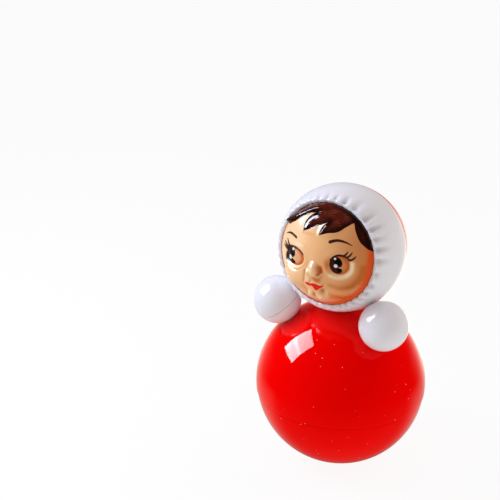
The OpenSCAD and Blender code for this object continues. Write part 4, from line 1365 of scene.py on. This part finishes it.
# %% Group: worked metal, and the materials of the inner pieces
# A slot's finish: name, deep and light shade, streaks per metre each way, roughness, metallic, bump height.
INNER_FINISHES = {
    "ballast_iron": ("cast_iron", (0.07, 0.07, 0.075, 1), (0.16, 0.155, 0.15, 1), (420.0, 420.0, 420.0),
                     0.62, 0.7, 0.0003),
    "plate_plastic": ("tan_plastic", (0.52, 0.43, 0.25, 1), (0.58, 0.49, 0.30, 1), (60.0, 60.0, 60.0),
                      0.42, 0.0, 0.00003),
    "link_plastic": ("ivory_plastic", (0.74, 0.70, 0.58, 1), (0.80, 0.76, 0.66, 1), (80.0, 80.0, 80.0),
                     0.38, 0.0, 0.00003),
    "steel": ("drawn_steel", (0.48, 0.49, 0.51, 1), (0.66, 0.67, 0.70, 1), (1500.0, 1500.0, 40.0),
              0.24, 1.0, 0.00001),
    "zinc_strip": ("zinc_plate", (0.50, 0.44, 0.26, 1), (0.66, 0.60, 0.42, 1), (90.0, 900.0, 90.0),
                   0.34, 1.0, 0.00001),
    "brass": ("turned_brass", (0.62, 0.42, 0.15, 1), (0.78, 0.57, 0.24, 1), (120.0, 120.0, 1500.0),
              0.22, 1.0, 0.00001),
}
STREAK_WEAR = (0.3, 0.7, -0.06, 0.08)

worked, taken = new_group("worked_metal", {
    "Deep": (0.5, 0.5, 0.5, 1), "Light": (0.7, 0.7, 0.7, 1),
    "Stretch": (400.0, 400.0, 30.0), "Roughness": 0.25,
})
streak = noise(worked, vectors(worked, "MULTIPLY", on_piece(worked), taken["Stretch"]), 1.0, 5.0)
tone = mix_colours(worked, spread(worked, streak, *FLOW_MIX), taken["Deep"], taken["Light"])
dull = work_out(worked, "ADD", spread(worked, streak, *STREAK_WEAR), taken["Roughness"])
group_gives(worked, tone, dull, streak)


def inner_material(name, deep, light, stretch, roughness, metallic, bump):
    """A streaked or grained finish for a piece inside the body."""
    material, tree, shader = new_material(name)
    values = {"Deep": deep, "Light": light, "Stretch": stretch, "Roughness": roughness}
    finish_with(tree, shader, worked, values, bump)
    shader.inputs["Metallic"].default_value = metallic
    return material


inner_materials = {slot: inner_material(*finish) for slot, finish in INNER_FINISHES.items()}
print("inner finishes:", list(inner_materials))

# %% [markdown]
# Each piece now gets its finish and the body that it moves with, and the solid that it stands for is hidden.
# Parenting by hand would do the same. The outer pieces all belong to the doll itself; the swinging link
# and the clapper keep their own solids, so they only need a material.

# %% Dress the pieces and the inner solids
DRESSED = [
    (body_lower, "body_lower_shell", red_plastic, "red_plastic"),
    (body_upper, "body_upper_shell", red_plastic, "red_plastic"),
    (back_cap, "head_back_cap", red_plastic, "red_plastic"),
    (hood, "hood", white_plastic, "white_plastic"),
    (face, "face", painted_face, "face_plastic"),
]
DRESSED += [(mitten, node, white_plastic, "white_plastic") for node, mitten in mittens.items()]


def give_finish(piece, material):
    """Makes a material the only one on a piece."""
    piece.data.materials.clear()
    piece.data.materials.append(material)


for piece, node, material, slot in DRESSED:
    give_finish(piece, material)
    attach(piece, "doll")
    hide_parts(node)

dressed_nodes = {node for _, node, _, _ in DRESSED}
for row in frame["record"]["subparts"]:
    if row["node"] not in dressed_nodes:
        give_finish(frame["nodes"][row["node"]], inner_materials[row["material_slot"]])
print("dressed", len(DRESSED), "pieces and", len(frame["nodes"]) - len(dressed_nodes), "inner solids")

# %% [markdown]
# The picture is taken from the doll's left, above the middle of the body, with a long lens that hardly
# tapers the shapes. We could fly the view there and lock the camera to it. Placed from the body's centre,
# the camera follows the frame.

# %% Camera
CAMERA_STEP = np.array([294.6, -566.0, 337.8])
VIEW_AZIMUTH = np.radians(32.13)
VIEW_ELEVATION = np.radians(22.11)
LENS = 90.36
SENSOR = 36
CLIP_START = 0.05

back_axis = np.array([
    np.sin(VIEW_AZIMUTH) * np.cos(VIEW_ELEVATION),
    -np.cos(VIEW_AZIMUTH) * np.cos(VIEW_ELEVATION),
    np.sin(VIEW_ELEVATION),
])
right_axis = np.array([np.cos(VIEW_AZIMUTH), np.sin(VIEW_AZIMUTH), 0])
up_axis = np.cross(back_axis, right_axis)
camera_data = bpy.data.cameras.new("camera")
camera_data.lens = LENS
camera_data.sensor_width = SENSOR
camera_data.clip_start = CLIP_START
camera = add_object("camera", camera_data)
turned = Matrix(np.stack([right_axis, up_axis, back_axis], axis=1).tolist()).to_4x4()
camera.matrix_world = Matrix.Translation(Vector((BODY_CENTRE + CAMERA_STEP) * MM)) @ turned
bpy.context.scene.camera = camera
print("camera at", [round(value, 3) for value in camera.location])

# %% [markdown]
# One soft box lights the doll from high on the picture's left. The red ball mirrors it as a white patch
# with a bright streak where its tube is. That mirror image is far brighter than the light on the plastic,
# and one lamp can't give both, so a second lamp close in front of the first lights only reflections.

# %% Lamps
SOFT_BOX_DIRECTION = np.array([-0.690, -0.328, 0.646])
SOFT_BOX_DISTANCE = 620
SHINE_STEP = 10
SOFT_BOX_WIDTH = 0.29
SOFT_BOX_HEIGHT = 0.365
KEY_POWER = 2.4
SHINE_POWER = 13.0
KEY_COLOUR = (0.82, 0.92, 1.20)
SHINE_COLOUR = (0.92, 0.94, 1.02)
STREAK_PLACE = 0.42
STREAK_HALF = 0.10
STREAK_GLOW = 0.6
LAMP_END = 0.65


def soft_box(name, power, colour, distance):
    """A rectangular lamp at a distance from the body's centre, facing it."""
    data = bpy.data.lights.new(name, "AREA")
    data.shape = "RECTANGLE"
    data.size = SOFT_BOX_WIDTH
    data.size_y = SOFT_BOX_HEIGHT
    data.energy = power
    data.color = colour
    lamp = add_object(name, data)
    lamp.location = Vector((BODY_CENTRE + SOFT_BOX_DIRECTION * distance) * MM)
    lamp.rotation_euler = Vector(SOFT_BOX_DIRECTION).to_track_quat("Z", "Y").to_euler()
    return lamp


def add_streak(data):
    """Lays a bright streak across a lamp and dims it steadily towards one end."""
    data.use_nodes = True
    tree = data.node_tree
    place = add_node(tree, "ShaderNodeNewGeometry").outputs["Parametric"]
    along = add_node(tree, "ShaderNodeSeparateXYZ", {0: place}).outputs["Y"]
    off = work_out(tree, "ABSOLUTE", work_out(tree, "SUBTRACT", along, STREAK_PLACE))
    streak = spread(tree, off, 0, STREAK_HALF, STREAK_GLOW, 0)
    strength = work_out(tree, "ADD", streak, spread(tree, along, 0, 1, 1, LAMP_END))
    feed(tree, tree.nodes["Emission"].inputs["Strength"], strength)


key_lamp = soft_box("key_soft_box", KEY_POWER, KEY_COLOUR, SOFT_BOX_DISTANCE)
shine_lamp = soft_box("shine_soft_box", SHINE_POWER, SHINE_COLOUR, SOFT_BOX_DISTANCE - SHINE_STEP)
shine_lamp.visible_diffuse = False
add_streak(shine_lamp.data)
print("lamps:", key_lamp.name, shine_lamp.name)

# %% [markdown]
# The doll stands on a white table. The camera sees it almost plain white, with a little of the soft shadow
# left. In the polished plastic the table has to match the room behind it, or a horizon would run across
# the balls, so both share one glow: bright behind the doll, brightest on the picture's right, where a
# window is, and fading upwards. A picture of a room could serve as the world, but a formula needs no file.

# %% Floor
FLOOR_SIZE = 3000
FLOOR_COLOUR = (0.85, 0.85, 0.85, 1)
FLOOR_ROUGHNESS = 0.7
FLOOR_BOUNCE = 0.9
FLOOR_SEEN = 0.92
REAR_FADE = 4.0
REAR_GLOW = 2.2
WINDOW_GLOW = 6.5
# What spread does with each: from low to high, and what these become.
WINDOW_SIDE = (0.2, 0.6, REAR_GLOW, WINDOW_GLOW)
GLOW_FADES = (0.05, 0.4, 1, 0.15)
NEAR_GLOW = (-0.03, 0.02, 0.1, 0.6)
FAR_SHARE = (0.08, 0.25, 0, 1)
REAR_TINT = (1.0, 0.96, 0.84, 1)
PLAIN_WHITE = (1, 1, 1, 1)

away, right, upward, middle = (row.tolist() for row in (-back_axis, right_axis, up_axis, BODY_CENTRE * MM))


def rear_glow(tree, direction):
    """How bright polished plastic sees a direction: how far it points away from the camera, to the fourth.

    It grows to the right, where a window is, and fades upwards.
    """
    behind = work_out(tree, "MAXIMUM", vectors(tree, "DOT_PRODUCT", direction, away), 0.0)
    window = spread(tree, vectors(tree, "DOT_PRODUCT", direction, right), *WINDOW_SIDE)
    fading = spread(tree, vectors(tree, "DOT_PRODUCT", direction, upward), *GLOW_FADES)
    glow = work_out(tree, "POWER", behind, REAR_FADE)
    return work_out(tree, "MULTIPLY", glow, work_out(tree, "MULTIPLY", window, fading))


def glow_mix(tree, under, factor, strength=1.0, tint=PLAIN_WHITE):
    """A shader with an even glow laid over it by a factor."""
    glow = add_node(tree, "ShaderNodeEmission", {"Color": tint, "Strength": strength}).outputs[0]
    return add_node(tree, "ShaderNodeMixShader", {0: factor, 1: under, 2: glow}).outputs[0]


corners = FLOOR_SIZE / 2 * np.array([(-1, -1, 0), (1, -1, 0), (1, 1, 0), (-1, 1, 0)])
floor = make_piece("floor", (corners, [(0, 1, 2, 3)]))
floor_material, tree, shader = new_material("white_table")
shader.inputs["Base Color"].default_value = FLOOR_COLOUR
shader.inputs["Roughness"].default_value = FLOOR_ROUGHNESS
rays = add_node(tree, "ShaderNodeLightPath").outputs
place = on_piece(tree)
from_body = vectors(tree, "NORMALIZE", vectors(tree, "SUBTRACT", place, middle))
near_glow = spread(tree, vectors(tree, "DOT_PRODUCT", place, away), *NEAR_GLOW)
far = spread(tree, vectors(tree, "LENGTH", place), *FAR_SHARE)
mirrored = add_node(tree, "ShaderNodeMix", {0: far, 2: near_glow, 3: rear_glow(tree, from_body)}).outputs[0]
table = glow_mix(tree, shader.outputs[0], work_out(tree, "MULTIPLY", rays["Is Diffuse Ray"], FLOOR_BOUNCE))
table = glow_mix(tree, table, rays["Is Glossy Ray"], mirrored, REAR_TINT)
table = glow_mix(tree, table, work_out(tree, "MULTIPLY", rays["Is Camera Ray"], FLOOR_SEEN))
feed(tree, tree.nodes["Material Output"].inputs["Surface"], table)
give_finish(floor, floor_material)
floor_material.cycles.emission_sampling = "NONE"
print("floor made,", FLOOR_SIZE, "mm wide")

# %% [markdown]
# The room around is pale. It is dimmer behind the camera and on the picture's left than behind the doll
# and on the right, which shapes the white balls. A few large lamps would do that too, but they would show
# in the polish. The camera sees plain white, and reflections see the glow that they see on the table.

# %% World
ROOM_FRONT = (0.50, 0.455, 0.44, 1)
ROOM_BACK = (1.05, 0.97, 0.95, 1)
BEHIND_SHARE = (-0.7, 0.4, 0, 1)
SIDE_LIGHT = (-0.8, 0.8, 0.55, 1.35)


def scaled(tree, colour, by):
    """A colour times a number."""
    return add_node(tree, "ShaderNodeVectorMath", {0: colour, "Scale": by}, operation="SCALE").outputs[0]


world = bpy.data.worlds.new("studio")
bpy.context.scene.world = world
world.use_nodes = True
tree = world.node_tree
rays = add_node(tree, "ShaderNodeLightPath").outputs
looking = add_node(tree, "ShaderNodeTexCoord").outputs["Generated"]
behind = spread(tree, vectors(tree, "DOT_PRODUCT", looking, away), *BEHIND_SHARE)
side_light = spread(tree, vectors(tree, "DOT_PRODUCT", looking, right), *SIDE_LIGHT, "LINEAR")
room = scaled(tree, mix_colours(tree, behind, ROOM_FRONT, ROOM_BACK), side_light)
shine = scaled(tree, REAR_TINT[:3], rear_glow(tree, looking))
seen = mix_colours(tree, rays["Is Glossy Ray"], room, shine)
seen = mix_colours(tree, rays["Is Camera Ray"], seen, PLAIN_WHITE)
feed(tree, tree.nodes["Background"].inputs["Color"], seen)
bpy.context.scene.view_settings.view_transform = "Standard"
print("world made; room light", ROOM_FRONT[:3], "to", ROOM_BACK[:3])
